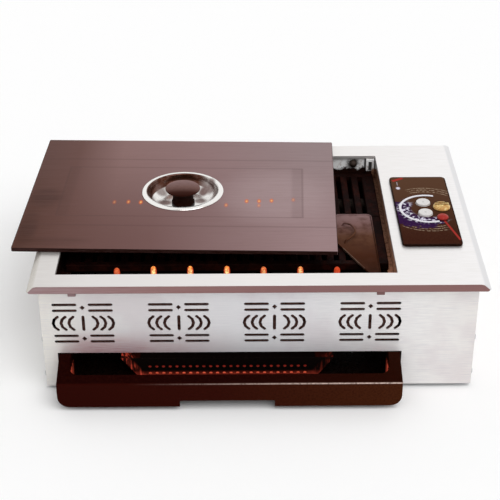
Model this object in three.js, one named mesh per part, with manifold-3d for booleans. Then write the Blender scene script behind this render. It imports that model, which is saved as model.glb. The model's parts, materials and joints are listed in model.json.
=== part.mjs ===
// Table-top gas grill for yakiniku: a sheet-metal housing with a square fire pit, a lid laid aside on
// its flange, a drawer with a water pan below, and a control bay with the gas train on the right.
// Millimetres, +Z up. The origin is the middle of the base plate's underside, below the middle of the
// flange; the rubber feet reach below it.
import * as THREE from "three";
import { mergeVertices } from "three/addons/utils/BufferGeometryUtils.js";
import Module from "manifold-3d";

const wasm = await Module();
wasm.setup();

// Housing
const FLANGE_WIDTH = 540;
const FLANGE_DEPTH = 380;
const BODY_HEIGHT = 145;
const RIM_OVERHANG = 12;
const PANEL_SHEET = 1.2;
const TOP_SHEET = 1.5;
const BEVEL_WIDTH = 7.5;
const BEVEL_DROP = 3.5;
const RIM_LIP = 1.6;
const RIM_CORNER_CUT = 4;
const TRIM_TONGUE = 9;
const TRIM_TONGUE_SHEET = 1;
const RETURN_FLANGE = 14;
const FOOT_HEIGHT = 5;
const FOOT_RADIUS = 9;
const FOOT_TAPER = 1.2;
const FOOT_INSET = 34;
const FOOT_STUD_RADIUS = 2.5;

// Clearances shared by all pieces
const SEAT_GAP = 0.3;
const RUNNING_GAP = 0.5;
const CUT_OVERRUN = 3;
const MERGE_DISTANCE = 0.001;
const GRID_PER_MM = 1024;

// Fire pit
const PIT_LEFT_MARGIN = 30;
const PIT_RIGHT_MARGIN = 106;
const PIT_FRONT_MARGIN = 35;
const PIT_REAR_MARGIN = 38;
const PIT_LIP = 4.5;
const FIREBOX_SETBACK = 3;
const FIREBOX_SHEET = 1.2;
const FIREBOX_FLANGE = 7;
const FIREBOX_BOTTOM_GAP = 3;
const LEDGE_DROP = 36;
const LEDGE_WIDTH = 12;
const REST_WIDTH = 11;
const REST_INSET = 4;
const REST_DEPTH = 5;
const REST_SLOT_WIDTH = 4.5;
const REST_SLOT_HEIGHT = 12.5;
const REST_SLOT_DROP = 3.5;

// Grates and the small plate that lies on the front one
const GRATE_THICKNESS = 10;
const GRATE_RIM = 9;
const GRATE_LEDGE_SHARE = 0.5;
const GRATE_SPLIT_SHARE = 0.591;
const GRATE_GAP = 1;
const GRATE_FRONT_SETBACK = 66;
const GRATE_SLOT_WIDTH = 6;
const GRATE_BAR_WIDTH = 9;
const PLATE_WIDTH = 49;
const PLATE_DEPTH = 153;
const PLATE_FRONT_OVERHANG = 33;
const PLATE_SHEET = 1.2;
const PLATE_RIM = 2.6;
const PLATE_CORNER = 7;
const PLATE_SIDE_MARGIN = 12;
const PLATE_CUT_WIDTH = 38;
const PLATE_CUT_DEPTH = 79;
const HANDLE_WIRE = 1.3;
const HANDLE_SPAN = 46;
const HANDLE_REAR_MARGIN = 50;
const HANDLE_REACH = 15;
const HANDLE_RISE = 6;
const HANDLE_SHOULDER_SHARE = 0.7;

// Burners and the gas train
const BURNER_RADIUS = 10;
const BURNER_SHEET = 1.2;
const BURNER_DROP = 55;
const BURNER_WALL_DISTANCE = 46;
const BURNER_OVERHANG_LEFT = 5;
const BURNER_OVERHANG_RIGHT = 22;
const PORT_RADIUS = 2.6;
const PORT_ROW_SHARE = 0.6624;
const PORTS = 7;
const MIXER_SPIGOT = 8;
const MIXER_LENGTH = 24;
const MIXER_THROAT = 6;
const MIXER_SHEET = 1;
const INJECTOR_LENGTH = 13;
const INJECTOR_RADIUS = 4.6;
const INJECTOR_NOSE = 2;
const INJECTOR_AIR_GAP = 2;
const INJECTOR_ORIFICE = 0.6;
const RAIL_RADIUS = 6;
const RAIL_BOSS_RADIUS = 6;
const RAIL_BOSS_LENGTH = 4;
const RAIL_OVERRUN = 10;
const RAIL_OUTLET_RADIUS = 5;
const VALVE_WIDTH = 28;
const VALVE_DEPTH = 42;
const VALVE_HEIGHT = 16;
const VALVE_RISE = 9;
const VALVE_BONNET_RADIUS = 10;
const VALVE_BONNET_HEIGHT = 4;
const VALVE_INLET_RADIUS = 7;
const VALVE_INLET_LENGTH = 8;
const VALVE_SOCKET_DEPTH = 8;
const SPINDLE_RADIUS = 3;
const SPINDLE_FLAT_SHARE = 0.6;
const INLET_PIPE_RADIUS = 5;
const NIPPLE_LENGTH = 30;
const NIPPLE_RADIUS = 5;
const NIPPLE_BORE = 3;
const NIPPLE_BARB = 1;
const NIPPLE_BARBS = 3;
const BARB_ROOT_SHARE = 0.1;
const BARB_CREST_SHARE = 0.2;
const NIPPLE_COLLAR_RADIUS = 11;
const NIPPLE_COLLAR = 5;
const NIPPLE_THREAD = 12;
const NUT_RADIUS = 11;
const NUT_HEIGHT = 6;

// Ignition
const SENSOR_RADIUS = 5.2;
const SENSOR_HEAD = 8;
const SENSOR_SHANK_RADIUS = 2.5;
const SENSOR_SHANK = 10;
const SENSOR_DROP = 12;
const SENSOR_SIDE = 30;
const ELECTRODE_RADIUS = 3;
const ELECTRODE_CERAMIC = 62;
const ELECTRODE_PIN_RADIUS = 1.1;
const ELECTRODE_PIN = 14;
const ELECTRODE_RISE = 13;
const ELECTRODE_FORWARD = 14;
const IGNITER_WIDTH = 36;
const IGNITER_DEPTH = 52;
const IGNITER_HEIGHT = 24;
const IGNITER_REAR_MARGIN = 22;
const BATTERY_WIDTH = 62;
const BATTERY_DEPTH = 70;
const BATTERY_HEIGHT = 34;
const BATTERY_FRONT_MARGIN = 16;
const BATTERY_BAY_WALL = 2;
const MODULE_FILLET = 3;

// Control bay and panel
const SHIELD_DISTANCE = 6;
const CONTROL_WIDTH = 74;
const CONTROL_DEPTH = 178;
const CONTROL_THICKNESS = 3;
const CONTROL_CORNER = 6;
const CONTROL_SIDE_MARGIN = 20;
const CONTROL_FRONT_MARGIN = 94;
const CONTROL_WINDOW_INSET = 8;
const DIAL_OFFSET = 3;
const DIAL_RADIUS = 36.5;
const DIAL_BAND = 3.2;
const DIAL_BAND_RIGHT = 4;
const DIAL_BAND_FORWARD = 2.5;
const DIAL_BAND_END = 11;
const DIAL_HEIGHT = 0.8;
const BUTTON_SPACING = 27;
const BUTTON_RADIUS = 9;
const BUTTON_HEIGHT = 2.4;
const BUTTON_SHOULDER = 1.6;
const BUTTON_SHOULDER_HEIGHT = 1.5;
const BUTTON_STEM_RADIUS = 3;
const BUTTON_TRAVEL = 2;
const BUTTON_DISH = 0.7;
const KNOB_OFFSET = 22;
const KNOB_RADIUS = 11;
const KNOB_HEIGHT = 7;
const KNOB_EDGE = 2;
const KNOB_GRIP_WIDTH = 4;
const KNOB_GRIP_HEIGHT = 2;
const LAMP_SIDE = 20;
const LAMP_FORWARD = 27;
const LAMP_RADIUS = 7.2;
const LAMP_HEIGHT = 5;
const LAMP_RIM_SHARE = 0.34;
const LAMP_STEM_RADIUS = 4.6;
const BOARD_DROP = 22;
const BOARD_SHEET = 1.6;
const BOARD_WIDTH = 62;
const BOARD_DEPTH = 118;
const BOSS_RADIUS = 3;
const BOSS_INSET = 6;
const SWITCH_SIZE = 12;
const SWITCH_HEIGHT = 5;
const SWITCH_PLUNGER_RADIUS = 2;

// Vents in the front panel
const VENT_GROUPS = 4;
const VENT_PITCH_SHARE = 0.28;
const VENT_DROP = 54;
const VENT_STROKE = 3.8;
const VENT_DOT_RADIUS = 3.3;
const VENT_ROW_RISE = 22;
const VENT_ROW_SPREAD = 4.1;
const VENT_SLOT_INNER = 6.5;
const VENT_SLOT_OUTER = 36;
const VENT_ARC_HEIGHT = 22;
const VENT_ARC_BULGE = 5.5;
const VENT_ARC_FIRST = 17.2;
const VENT_ARC_PITCH = 9.3;
const VENT_ARCS = 3;

// Fasteners
const CLIP_WIDTH = 9.5;
const CLIP_HEIGHT = 4.6;
const CLIP_DEPTH = 2.4;
const CLIP_DROP = 12.7;
const CLIP_SPACING_SHARE = 0.894;
const CLIP_SHANK_RADIUS = 1.8;
const CLIP_SHANK = 4;
const SCREW_HEAD_RADIUS = 4;
const SCREW_HEAD = 2;
const SCREW_SHANK_RADIUS = 1.9;
const SCREW_SHANK = 5;
const SCREW_TOP_DROP = 81;
const SCREW_BOTTOM_RISE = 14;
const SCREW_INSET = 8;

// Lid with its sunk cup and knob
const LID_CLEARANCE = 4;
const LID_THICKNESS = 5;
const LID_CORNER = 2;
const LID_SHIFT_LEFT = 58.8;
const LID_SHIFT_BACK = 42.5;
const LID_TURN_DEGREES = -1.9;
const CUP_RADIUS = 53;
const CUP_RIM = 5.5;
const CUP_RIM_HEIGHT = 1.8;
const CUP_SHEET = 1.2;
const CUP_DEPTH = 17;
const CUP_FLOOR_RADIUS = 26;
const LID_KNOB_RADIUS = 22.7;
const LID_KNOB_RISE = 7.5;
const LID_KNOB_CAP = 9;
const LID_KNOB_DOME_SHARE = 0.33;
const LID_KNOB_UNDER_SHARE = 0.2;
const LID_KNOB_SHOULDER_SHARE = 0.8;
const LID_KNOB_NECK = 13.5;
const LID_KNOB_COLLAR = 15;
const LID_KNOB_COLLAR_HEIGHT = 3;
const LID_SCREW_RADIUS = 2.4;
const LID_SCREW_LENGTH = 14;
const LID_SCREW_HEAD_RADIUS = 7;
const LID_SCREW_HEAD = 2;

// Drawer with its pans
const DRAWER_PAST_PIT = 2.5;
const DRAWER_REAR_GAP = 9.5;
const DRAWER_SHIFT = 3;
const DRAWER_OUT = 43.5;
const DRAWER_HEIGHT = 47.6;
const DRAWER_FACE_HEIGHT = 32.5;
const DRAWER_FACE_SHEET = 2;
const DRAWER_FACE_CORNER = 14;
const DRAWER_FACE_PROUD = 1;
const DRAWER_FLOOR_GAP = 0.8;
const DRAWER_SLOPE = 43;
const DRAWER_SHEET = 1.5;
const DRAWER_RIM = 14;
const DRAWER_RIM_CORNER = 11;
const DRAWER_SIDE_GAP = 2;
const DRAWER_TOP_GAP = 1;
const DRAWER_NOTCH_WIDTH = 113;
const DRAWER_NOTCH_HEIGHT = 8.6;
const PAN_LEDGE = 6;
const PAN_SHEET = 1;
const PAN_HEIGHT = 29;
const TRAY_SHEET = 1;
const TRAY_HEIGHT = 29;
const TRAY_FLOOR_WIDTH = 218;
const TRAY_END_SPLAY = 20;
const TRAY_FRONT_SPLAY = 3;
const TRAY_FRONT_GAP = 40;
const TRAY_REAR_GAP = 68;
const TRAY_HOLE_RADIUS = 2.1;
const TRAY_HOLE_PITCH = 8.2;
const TRAY_FIRST_ROW = 5;
const TRAY_ROW_PITCH = 10.7;
const TRAY_HOLE_ROWS = 2;
const RUNNER_SHEET = 1.2;
const RUNNER_FOOT = 11;
const RUNNER_HEIGHT = 18;

// How finely round shapes are faceted
const FINE_SIDES = 40;
const ROUND_SIDES = 20;
const SMALL_SIDES = 12;
const HOLE_SIDES = 8;
const HEX_SIDES = 6;
const CORNER_STEPS = 3;
const VENT_STEPS = 2;
const CUP_STEPS = 6;
const DOME_STEPS = 5;
const WIRE_STEPS = 12;

// Planes that several pieces share
const baseZ = 0;
const topZ = baseZ + BODY_HEIGHT;
const wallX = FLANGE_WIDTH / 2 - RIM_OVERHANG;
const wallY = FLANGE_DEPTH / 2 - RIM_OVERHANG;
const innerX = wallX - PANEL_SHEET - SEAT_GAP;
const innerY = wallY - PANEL_SHEET - SEAT_GAP;
const underTop = topZ - TOP_SHEET - SEAT_GAP;
const floorZ = baseZ + PANEL_SHEET;

const pitWidth = FLANGE_WIDTH - PIT_LEFT_MARGIN - PIT_RIGHT_MARGIN;
const pitDepth = FLANGE_DEPTH - PIT_FRONT_MARGIN - PIT_REAR_MARGIN;
const pit = span(
  PIT_LEFT_MARGIN - FLANGE_WIDTH / 2,
  pitWidth,
  PIT_FRONT_MARGIN - FLANGE_DEPTH / 2,
  pitDepth,
);
const box = grown(pit, FIREBOX_SETBACK);
const ledgeZ = topZ - LEDGE_DROP;
const grateZ = ledgeZ + SEAT_GAP;
const burnerZ = topZ - BURNER_DROP;
const burnerRows = { front: box.y0 + BURNER_WALL_DISTANCE, rear: box.y1 - BURNER_WALL_DISTANCE };
const shieldX = box.x1 + FIREBOX_SHEET + SHIELD_DISTANCE;
const burnerEnd = box.x1 + FIREBOX_SHEET + BURNER_OVERHANG_RIGHT;

const control = span(
  FLANGE_WIDTH / 2 - CONTROL_SIDE_MARGIN - CONTROL_WIDTH,
  CONTROL_WIDTH,
  -FLANGE_DEPTH / 2 + CONTROL_FRONT_MARGIN,
  CONTROL_DEPTH,
);
const controlZ = topZ + SEAT_GAP;
const faceZ = controlZ + CONTROL_THICKNESS;
const dial = { x: control.cx, y: control.cy + DIAL_OFFSET };
const knobX = dial.x + KNOB_OFFSET;
const lamp = { x: dial.x + LAMP_SIDE, y: dial.y - LAMP_FORWARD };
const buttonRows = { ignite: dial.y + BUTTON_SPACING / 2, stop: dial.y - BUTTON_SPACING / 2 };
const boardZ = controlZ - BOARD_DROP;
const valveZ = burnerZ + VALVE_RISE;

const drawerX = pit.cx + DRAWER_SHIFT;
const drawerWidth = pitWidth + 2 * DRAWER_PAST_PIT;
const closedFaceY = -wallY - DRAWER_FACE_PROUD;
const faceY = closedFaceY - DRAWER_OUT;
const drawer = span(
  drawerX - drawerWidth / 2,
  drawerWidth,
  faceY,
  innerY - DRAWER_REAR_GAP - closedFaceY,
);
const drawerTop = baseZ + DRAWER_HEIGHT;
const runnerZ = floorZ + SEAT_GAP + RUNNER_SHEET;
const skirtZ = runnerZ + SEAT_GAP;
const cavity = grown(drawer, -DRAWER_RIM);
const doorway = {
  x0: drawer.x0 - DRAWER_SIDE_GAP,
  x1: drawer.x1 + DRAWER_SIDE_GAP,
  top: drawerTop + DRAWER_TOP_GAP,
};
const panZ = skirtZ + DRAWER_SHEET + SEAT_GAP;
const trayZ = panZ + PAN_SHEET + SEAT_GAP;

// A rectangle in plan, from its low corner and its size.
function span(x0, width, y0, depth) {
  const x1 = x0 + width;
  const y1 = y0 + depth;
  return { x0, x1, y0, y1, cx: (x0 + x1) / 2, cy: (y0 + y1) / 2 };
}

// The same rectangle with every side moved out.
function grown(area, by) {
  return span(area.x0 - by, area.x1 - area.x0 + 2 * by, area.y0 - by, area.y1 - area.y0 + 2 * by);
}

// A closed geometry as a solid that can be joined and cut. Its corners are set on a fine grid, so
// that faces meant to lie in one plane do so exactly.
function solidOf(geometry) {
  const bare = geometry.clone();
  bare.deleteAttribute("normal");
  bare.deleteAttribute("uv");
  const merged = mergeVertices(bare, MERGE_DISTANCE);
  const corners = merged.attributes.position.array;
  const vertProperties = corners.map((v) => Math.round(v * GRID_PER_MM) / GRID_PER_MM);
  const triVerts = new Uint32Array(merged.index.array);
  return new wasm.Manifold(new wasm.Mesh({ numProp: 3, vertProperties, triVerts }));
}

// A solid as a flat-shaded geometry.
function geometryOf(solid) {
  const mesh = solid.getMesh();
  const shared = new THREE.BufferGeometry();
  shared.setAttribute("position", new THREE.BufferAttribute(mesh.vertProperties, mesh.numProp));
  shared.setIndex(new THREE.BufferAttribute(mesh.triVerts, 1));
  const flat = shared.toNonIndexed();
  flat.computeVertexNormals();
  return flat;
}

const join = (...solids) => solids.reduce((whole, next) => whole.add(next));
const cut = (body, ...tools) => tools.reduce((rest, tool) => rest.subtract(tool), body);

// A block between two planes on each axis.
function block(x0, x1, y0, y1, z0, z1) {
  const geometry = new THREE.BoxGeometry(x1 - x0, y1 - y0, z1 - z0);
  geometry.translate((x0 + x1) / 2, (y0 + y1) / 2, (z0 + z1) / 2);
  return solidOf(geometry);
}

const blockOn = (area, z0, z1) => block(area.x0, area.x1, area.y0, area.y1, z0, z1);

// An outline extruded to the given length, before it is placed.
function extruded(shape, length, steps = CORNER_STEPS) {
  return new THREE.ExtrudeGeometry(shape, { depth: length, bevelEnabled: false, curveSegments: steps });
}

// An outline drawn in X and Y, raised from z0 to z1.
function prismZ(shape, z0, z1, steps) {
  return solidOf(extruded(shape, z1 - z0, steps).translate(0, 0, z0));
}

// An outline drawn in X and Z, carried from y0 to y1.
function prismY(shape, y0, y1, steps) {
  return solidOf(extruded(shape, y1 - y0, steps).rotateX(Math.PI / 2).translate(0, y1, 0));
}

// An outline drawn in Y and Z, carried from x0 to x1.
function prismX(shape, x0, x1, steps) {
  const turn = new THREE.Matrix4().makeBasis(
    new THREE.Vector3(0, 1, 0),
    new THREE.Vector3(0, 0, 1),
    new THREE.Vector3(1, 0, 0),
  );
  return solidOf(extruded(shape, x1 - x0, steps).applyMatrix4(turn).translate(x0, 0, 0));
}

// A closed outline through the given corners.
function outline(points) {
  return new THREE.Shape(points.map(([a, b]) => new THREE.Vector2(a, b)));
}

// A rectangle with rounded corners.
function rounded(area, radius) {
  const shape = new THREE.Shape();
  shape.absarc(area.x1 - radius, area.y1 - radius, radius, 0, Math.PI / 2);
  shape.absarc(area.x0 + radius, area.y1 - radius, radius, Math.PI / 2, Math.PI);
  shape.absarc(area.x0 + radius, area.y0 + radius, radius, Math.PI, 1.5 * Math.PI);
  shape.absarc(area.x1 - radius, area.y0 + radius, radius, 1.5 * Math.PI, 2 * Math.PI);
  shape.closePath();
  return shape;
}

// A profile of radius and height turned about the Z axis.
function turned(profile, sides) {
  const points = profile.map(([radius, height]) => new THREE.Vector2(radius, height));
  return new THREE.LatheGeometry(points, sides).rotateX(Math.PI / 2);
}

// Ways to stand a turned shape: its height runs along the named axis.
const alongX = (geometry) => geometry.rotateY(Math.PI / 2);
const alongY = (geometry) => geometry.rotateX(-Math.PI / 2);

// Round rods between two stations along an axis.
const disc = (radius, length) => [
  [0, 0],
  [radius, 0],
  [radius, length],
  [0, length],
];
const rodZ = (radius, x, y, z0, z1, sides) => solidOf(
  turned(disc(radius, z1 - z0), sides).translate(x, y, z0),
);
const rodX = (radius, x0, x1, y, z, sides) =>
  solidOf(alongX(turned(disc(radius, x1 - x0), sides)).translate(x0, y, z));
const rodY = (radius, x, y0, y1, z, sides) =>
  solidOf(alongY(turned(disc(radius, y1 - y0), sides)).translate(x, y0, z));

// Materials
function finish(color, roughness, metalness) {
  return new THREE.MeshStandardMaterial({ color, roughness, metalness });
}

const stainless = finish(0xe8e5e3, 0.35, 0.7);
const panelSteel = finish(0xd6d6da, 0.45, 0.6);
const mauveTrim = finish(0x8c6c70, 0.4, 0.5);
const linerSteel = finish(0xb8b0a8, 0.3, 0.8);
const galvanised = finish(0xa9abad, 0.55, 0.7);
const lidGlass = finish(0x7c6263, 0.25, 0.1);
const chrome = finish(0xdedede, 0.1, 1);
const knobPlastic = finish(0x3a2622, 0.35, 0);
const enamel = finish(0x33160f, 0.3, 0.1);
const castIron = finish(0x17120f, 0.75, 0.4);
const burnerSteel = finish(0x6b625c, 0.5, 0.8);
const brass = finish(0xb9944f, 0.35, 0.9);
const controlFilm = finish(0x46291a, 0.35, 0.1);
const whitePlastic = finish(0xf0f0ee, 0.4, 0);
const amberPlastic = finish(0xe0962f, 0.35, 0);
const redLens = finish(0xa32a26, 0.2, 0);
const rubber = finish(0x1c1b1a, 0.9, 0);
const ceramic = finish(0xe9e4da, 0.5, 0);
const boardGreen = finish(0x2f5a3c, 0.6, 0);
const blackPlastic = finish(0x232222, 0.55, 0);

// A named piece of the grill.
function piece(name, shape, material) {
  const geometry = shape.isBufferGeometry ? shape : geometryOf(shape);
  const mesh = new THREE.Mesh(geometry, material);
  mesh.name = name;
  return mesh;
}

// Outline of the flange's outer edge, its corners clipped.
function flangeOutline(inset) {
  const x = FLANGE_WIDTH / 2 - inset;
  const y = FLANGE_DEPTH / 2 - inset;
  const c = RIM_CORNER_CUT;
  return outline([
    [x, y - c],
    [x - c, y],
    [-x + c, y],
    [-x, y - c],
    [-x, -y + c],
    [-x + c, -y],
    [x - c, -y],
    [x, -y + c],
  ]);
}

// The flange as a solid block with a bevelled rim, drawn in and lowered for its inner face.
function flangeBlock(inset, drop, below) {
  const bevelZ = topZ - BEVEL_DROP - drop;
  const slope = BEVEL_WIDTH - inset;
  const upper = extruded(flangeOutline(inset), BEVEL_DROP).translate(0, 0, bevelZ);
  const at = upper.attributes.position;
  for (let i = 0; i < at.count; i += 1) {
    if (at.getZ(i) > bevelZ + BEVEL_DROP / 2) {
      at.setX(i, at.getX(i) - Math.sign(at.getX(i)) * slope);
      at.setY(i, at.getY(i) - Math.sign(at.getY(i)) * slope);
    }
  }
  return join(solidOf(upper), prismZ(flangeOutline(inset), topZ - BEVEL_DROP - RIM_LIP - below, bevelZ));
}

const flangeSheet = () => cut(flangeBlock(0, 0, 0), flangeBlock(TOP_SHEET, TOP_SHEET, CUT_OVERRUN));

// The mitred strip in front of the flat top, where the coloured edge trim sits.
function frontStrip(gap) {
  const x = FLANGE_WIDTH / 2 - BEVEL_WIDTH;
  const y = FLANGE_DEPTH / 2 - BEVEL_WIDTH;
  const reach = BEVEL_WIDTH + CUT_OVERRUN;
  const corners = [
    [-x, -y + gap],
    [-x - reach, -y - reach + gap],
    [x + reach, -y - reach + gap],
    [x, -y + gap],
  ];
  return prismZ(outline(corners), baseZ, topZ + CUT_OVERRUN);
}

function topPlate() {
  const lipRing = cut(
    blockOn(grown(pit, TOP_SHEET), topZ - PIT_LIP, topZ - TOP_SHEET / 2),
    blockOn(pit, baseZ, topZ + CUT_OVERRUN),
  );
  const sheet = cut(
    flangeSheet(),
    frontStrip(SEAT_GAP),
    blockOn(pit, baseZ, topZ + CUT_OVERRUN),
    blockOn(grown(control, -CONTROL_WINDOW_INSET), baseZ, topZ + CUT_OVERRUN),
  );
  return piece("top_plate", join(sheet, lipRing), stainless);
}

function frontTrim() {
  const edgeY = -FLANGE_DEPTH / 2 + BEVEL_WIDTH;
  const tongueTop = underTop;
  const tongue = block(
    -innerX,
    innerX,
    edgeY - BEVEL_WIDTH / 2,
    edgeY + TRIM_TONGUE,
    tongueTop - TRIM_TONGUE_SHEET,
    tongueTop,
  );
  return piece("front_edge_trim", join(flangeSheet().intersect(frontStrip(0)), tongue), mauveTrim);
}

// A straight vent slot with round ends.
function ventSlot(x0, x1, z) {
  const hole = new THREE.Shape();
  const radius = VENT_STROKE / 2;
  hole.absarc(x1 - radius, z, radius, -Math.PI / 2, Math.PI / 2);
  hole.absarc(x0 + radius, z, radius, Math.PI / 2, 1.5 * Math.PI);
  hole.closePath();
  return hole;
}

// A vent slot bent like a bracket, bulging towards the given side, or straight up for none.
function ventArc(x, z, side) {
  const hole = new THREE.Shape();
  const radius = VENT_STROKE / 2;
  const rise = VENT_ARC_HEIGHT / 2 - radius;
  if (side === 0) {
    hole.absarc(x, z + rise, radius, 0, Math.PI);
    hole.absarc(x, z - rise, radius, Math.PI, 2 * Math.PI);
    hole.closePath();
    return hole;
  }
  const bend = (rise * rise + VENT_ARC_BULGE * VENT_ARC_BULGE) / (2 * VENT_ARC_BULGE);
  const reach = Math.asin(rise / bend);
  const middle = side > 0 ? 0 : Math.PI;
  const centre = x - side * bend;
  const tip = (angle) => [centre + bend * Math.cos(angle), z + bend * Math.sin(angle)];
  const [farX, farZ] = tip(middle + reach);
  const [nearX, nearZ] = tip(middle - reach);
  hole.absarc(centre, z, bend + radius, middle - reach, middle + reach);
  hole.absarc(farX, farZ, radius, middle + reach, middle + reach + Math.PI);
  hole.absarc(centre, z, bend - radius, middle + reach, middle - reach, true);
  hole.absarc(nearX, nearZ, radius, middle - reach - Math.PI, middle - reach);
  hole.closePath();
  return hole;
}

// One vent group: rows of slots with a dot above and below, and brackets about an upright slot.
function ventGroup(x, z) {
  const holes = [ventArc(x, z, 0)];
  for (const up of [-1, 1]) {
    const rowZ = z + up * VENT_ROW_RISE;
    const dot = new THREE.Shape();
    dot.absarc(x, rowZ, VENT_DOT_RADIUS, 0, 2 * Math.PI);
    holes.push(dot);
    for (const shift of [-VENT_ROW_SPREAD, VENT_ROW_SPREAD]) {
      holes.push(ventSlot(x - VENT_SLOT_OUTER, x - VENT_SLOT_INNER, rowZ + shift));
      holes.push(ventSlot(x + VENT_SLOT_INNER, x + VENT_SLOT_OUTER, rowZ + shift));
    }
  }
  for (let i = 0; i < VENT_ARCS; i += 1) {
    const out = VENT_ARC_FIRST + i * VENT_ARC_PITCH;
    holes.push(ventArc(x - out, z, -1), ventArc(x + out, z, 1));
  }
  return holes;
}

const screwHeights = [topZ - SCREW_TOP_DROP, baseZ + SCREW_BOTTOM_RISE];
const screwReach = SCREW_SHANK_RADIUS + SEAT_GAP;

// Screw holes through a side wall near its front or rear edge.
function screwHoles(side, end) {
  const y = end * (wallY - SCREW_INSET);
  const x0 = side > 0 ? wallX - RETURN_FLANGE : -wallX - CUT_OVERRUN;
  const x1 = side > 0 ? wallX + CUT_OVERRUN : -wallX + RETURN_FLANGE;
  return screwHeights.map((z) => rodX(screwReach, x0, x1, y, z, HOLE_SIDES));
}

// The flanges that turn back from an end panel's sides, inside the side panels.
function returnFlanges(end, topLimit) {
  return [-1, 1].map((side) => {
    const outer = side * innerX;
    const inner = outer - side * PANEL_SHEET;
    const near = end * (wallY - PANEL_SHEET / 2);
    const far = end * (wallY - RETURN_FLANGE);
    const sheet = block(
      Math.min(outer, inner),
      Math.max(outer, inner),
      Math.min(near, far),
      Math.max(near, far),
      floorZ + SEAT_GAP,
      topLimit,
    );
    return cut(sheet, ...screwHoles(side, end));
  });
}

const clipSpots = [-1, 1].map((side) => pit.cx + (side * pitWidth * CLIP_SPACING_SHARE) / 2);
const clipZ = topZ - CLIP_DROP;

function frontPanel() {
  const top = underTop - TRIM_TONGUE_SHEET - SEAT_GAP;
  const shape = outline([
    [-wallX, baseZ],
    [doorway.x0, baseZ],
    [doorway.x0, doorway.top],
    [doorway.x1, doorway.top],
    [doorway.x1, baseZ],
    [wallX, baseZ],
    [wallX, top],
    [-wallX, top],
  ]);
  const sheet = prismY(shape, -wallY, -wallY + PANEL_SHEET);
  const vents = [];
  for (let i = 0; i < VENT_GROUPS; i += 1) {
    const x = pit.cx + (i - (VENT_GROUPS - 1) / 2) * pitWidth * VENT_PITCH_SHARE;
    const group = ventGroup(x, topZ - VENT_DROP);
    vents.push(
      ...group.map((vent) => prismY(vent, -wallY - CUT_OVERRUN, -wallY + CUT_OVERRUN, VENT_STEPS)),
    );
  }
  const clipReach = CLIP_SHANK_RADIUS + SEAT_GAP;
  const clipHoles = clipSpots.map((x) =>
    rodY(clipReach, x, -wallY - CUT_OVERRUN, -wallY + CUT_OVERRUN, clipZ, HOLE_SIDES),
  );
  return piece(
    "front_panel",
    cut(join(sheet, ...returnFlanges(-1, top)), ...vents, ...clipHoles),
    panelSteel,
  );
}

const inletX = knobX;
const inletZ = valveZ + VALVE_HEIGHT / 2;
const threadReach = NIPPLE_RADIUS + NIPPLE_BARB;

function rearPanel() {
  const sheet = block(-wallX, wallX, wallY - PANEL_SHEET, wallY, baseZ, underTop);
  const hole = rodY(
    threadReach + SEAT_GAP,
    inletX,
    innerY - CUT_OVERRUN,
    wallY + CUT_OVERRUN,
    inletZ,
    ROUND_SIDES,
  );
  return piece("rear_panel", cut(join(sheet, ...returnFlanges(1, underTop)), hole), panelSteel);
}

function sidePanel(name, side) {
  const outer = side * wallX;
  const inner = side * (wallX - PANEL_SHEET);
  const sheet = block(Math.min(outer, inner), Math.max(outer, inner), -innerY, innerY, baseZ, underTop);
  return piece(name, cut(sheet, ...screwHoles(side, -1), ...screwHoles(side, 1)), panelSteel);
}

const footSpots = [
  ["front_left", -1, -1],
  ["front_right", 1, -1],
  ["rear_left", -1, 1],
  ["rear_right", 1, 1],
].map(([name, sx, sy]) => ({ name, x: sx * (wallX - FOOT_INSET), y: sy * (wallY - FOOT_INSET) }));

function basePlate() {
  const holes = footSpots.map(({ x, y }) =>
    rodZ(FOOT_STUD_RADIUS + SEAT_GAP, x, y, baseZ - CUT_OVERRUN, floorZ + CUT_OVERRUN, SMALL_SIDES),
  );
  return piece(
    "base_plate",
    cut(block(-innerX, innerX, -innerY, innerY, baseZ, floorZ), ...holes),
    galvanised,
  );
}

// A rubber foot below the base plate with its stud pushed up through it.
function foot({ name, x, y }) {
  const profile = [
    [0, baseZ - FOOT_HEIGHT],
    [FOOT_RADIUS - FOOT_TAPER, baseZ - FOOT_HEIGHT],
    [FOOT_RADIUS, baseZ - SEAT_GAP],
    [FOOT_STUD_RADIUS, baseZ - SEAT_GAP],
    [FOOT_STUD_RADIUS, floorZ],
    [0, floorZ],
  ];
  return piece("foot_" + name, turned(profile, ROUND_SIDES).translate(x, y, 0), rubber);
}

// A clip below the flange's front edge, its shank through the front panel.
function clip(name, x) {
  const y = -wallY - SEAT_GAP;
  const area = span(x - CLIP_WIDTH / 2, CLIP_WIDTH, y - CLIP_DEPTH, CLIP_DEPTH);
  const body = blockOn(area, clipZ - CLIP_HEIGHT / 2, clipZ + CLIP_HEIGHT / 2);
  const shank = rodY(CLIP_SHANK_RADIUS, x, y - CLIP_DEPTH / 2, y + CLIP_SHANK, clipZ, HOLE_SIDES);
  return piece(name, join(body, shank), mauveTrim);
}

// A pan-head screw through a side panel into the flange behind it.
function sideScrew(name, side, end, z) {
  const profile = [
    [0, -SCREW_SHANK],
    [SCREW_SHANK_RADIUS, -SCREW_SHANK],
    [SCREW_SHANK_RADIUS, SEAT_GAP],
    [SCREW_HEAD_RADIUS, SEAT_GAP],
    [SCREW_HEAD_RADIUS, SEAT_GAP + SCREW_HEAD / 2],
    [SCREW_HEAD_RADIUS / 2, SEAT_GAP + SCREW_HEAD],
    [0, SEAT_GAP + SCREW_HEAD],
  ];
  const geometry = turned(profile, SMALL_SIDES);
  geometry.rotateY((side * Math.PI) / 2).translate(side * wallX, end * (wallY - SCREW_INSET), z);
  return piece(name, geometry, galvanised);
}

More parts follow.
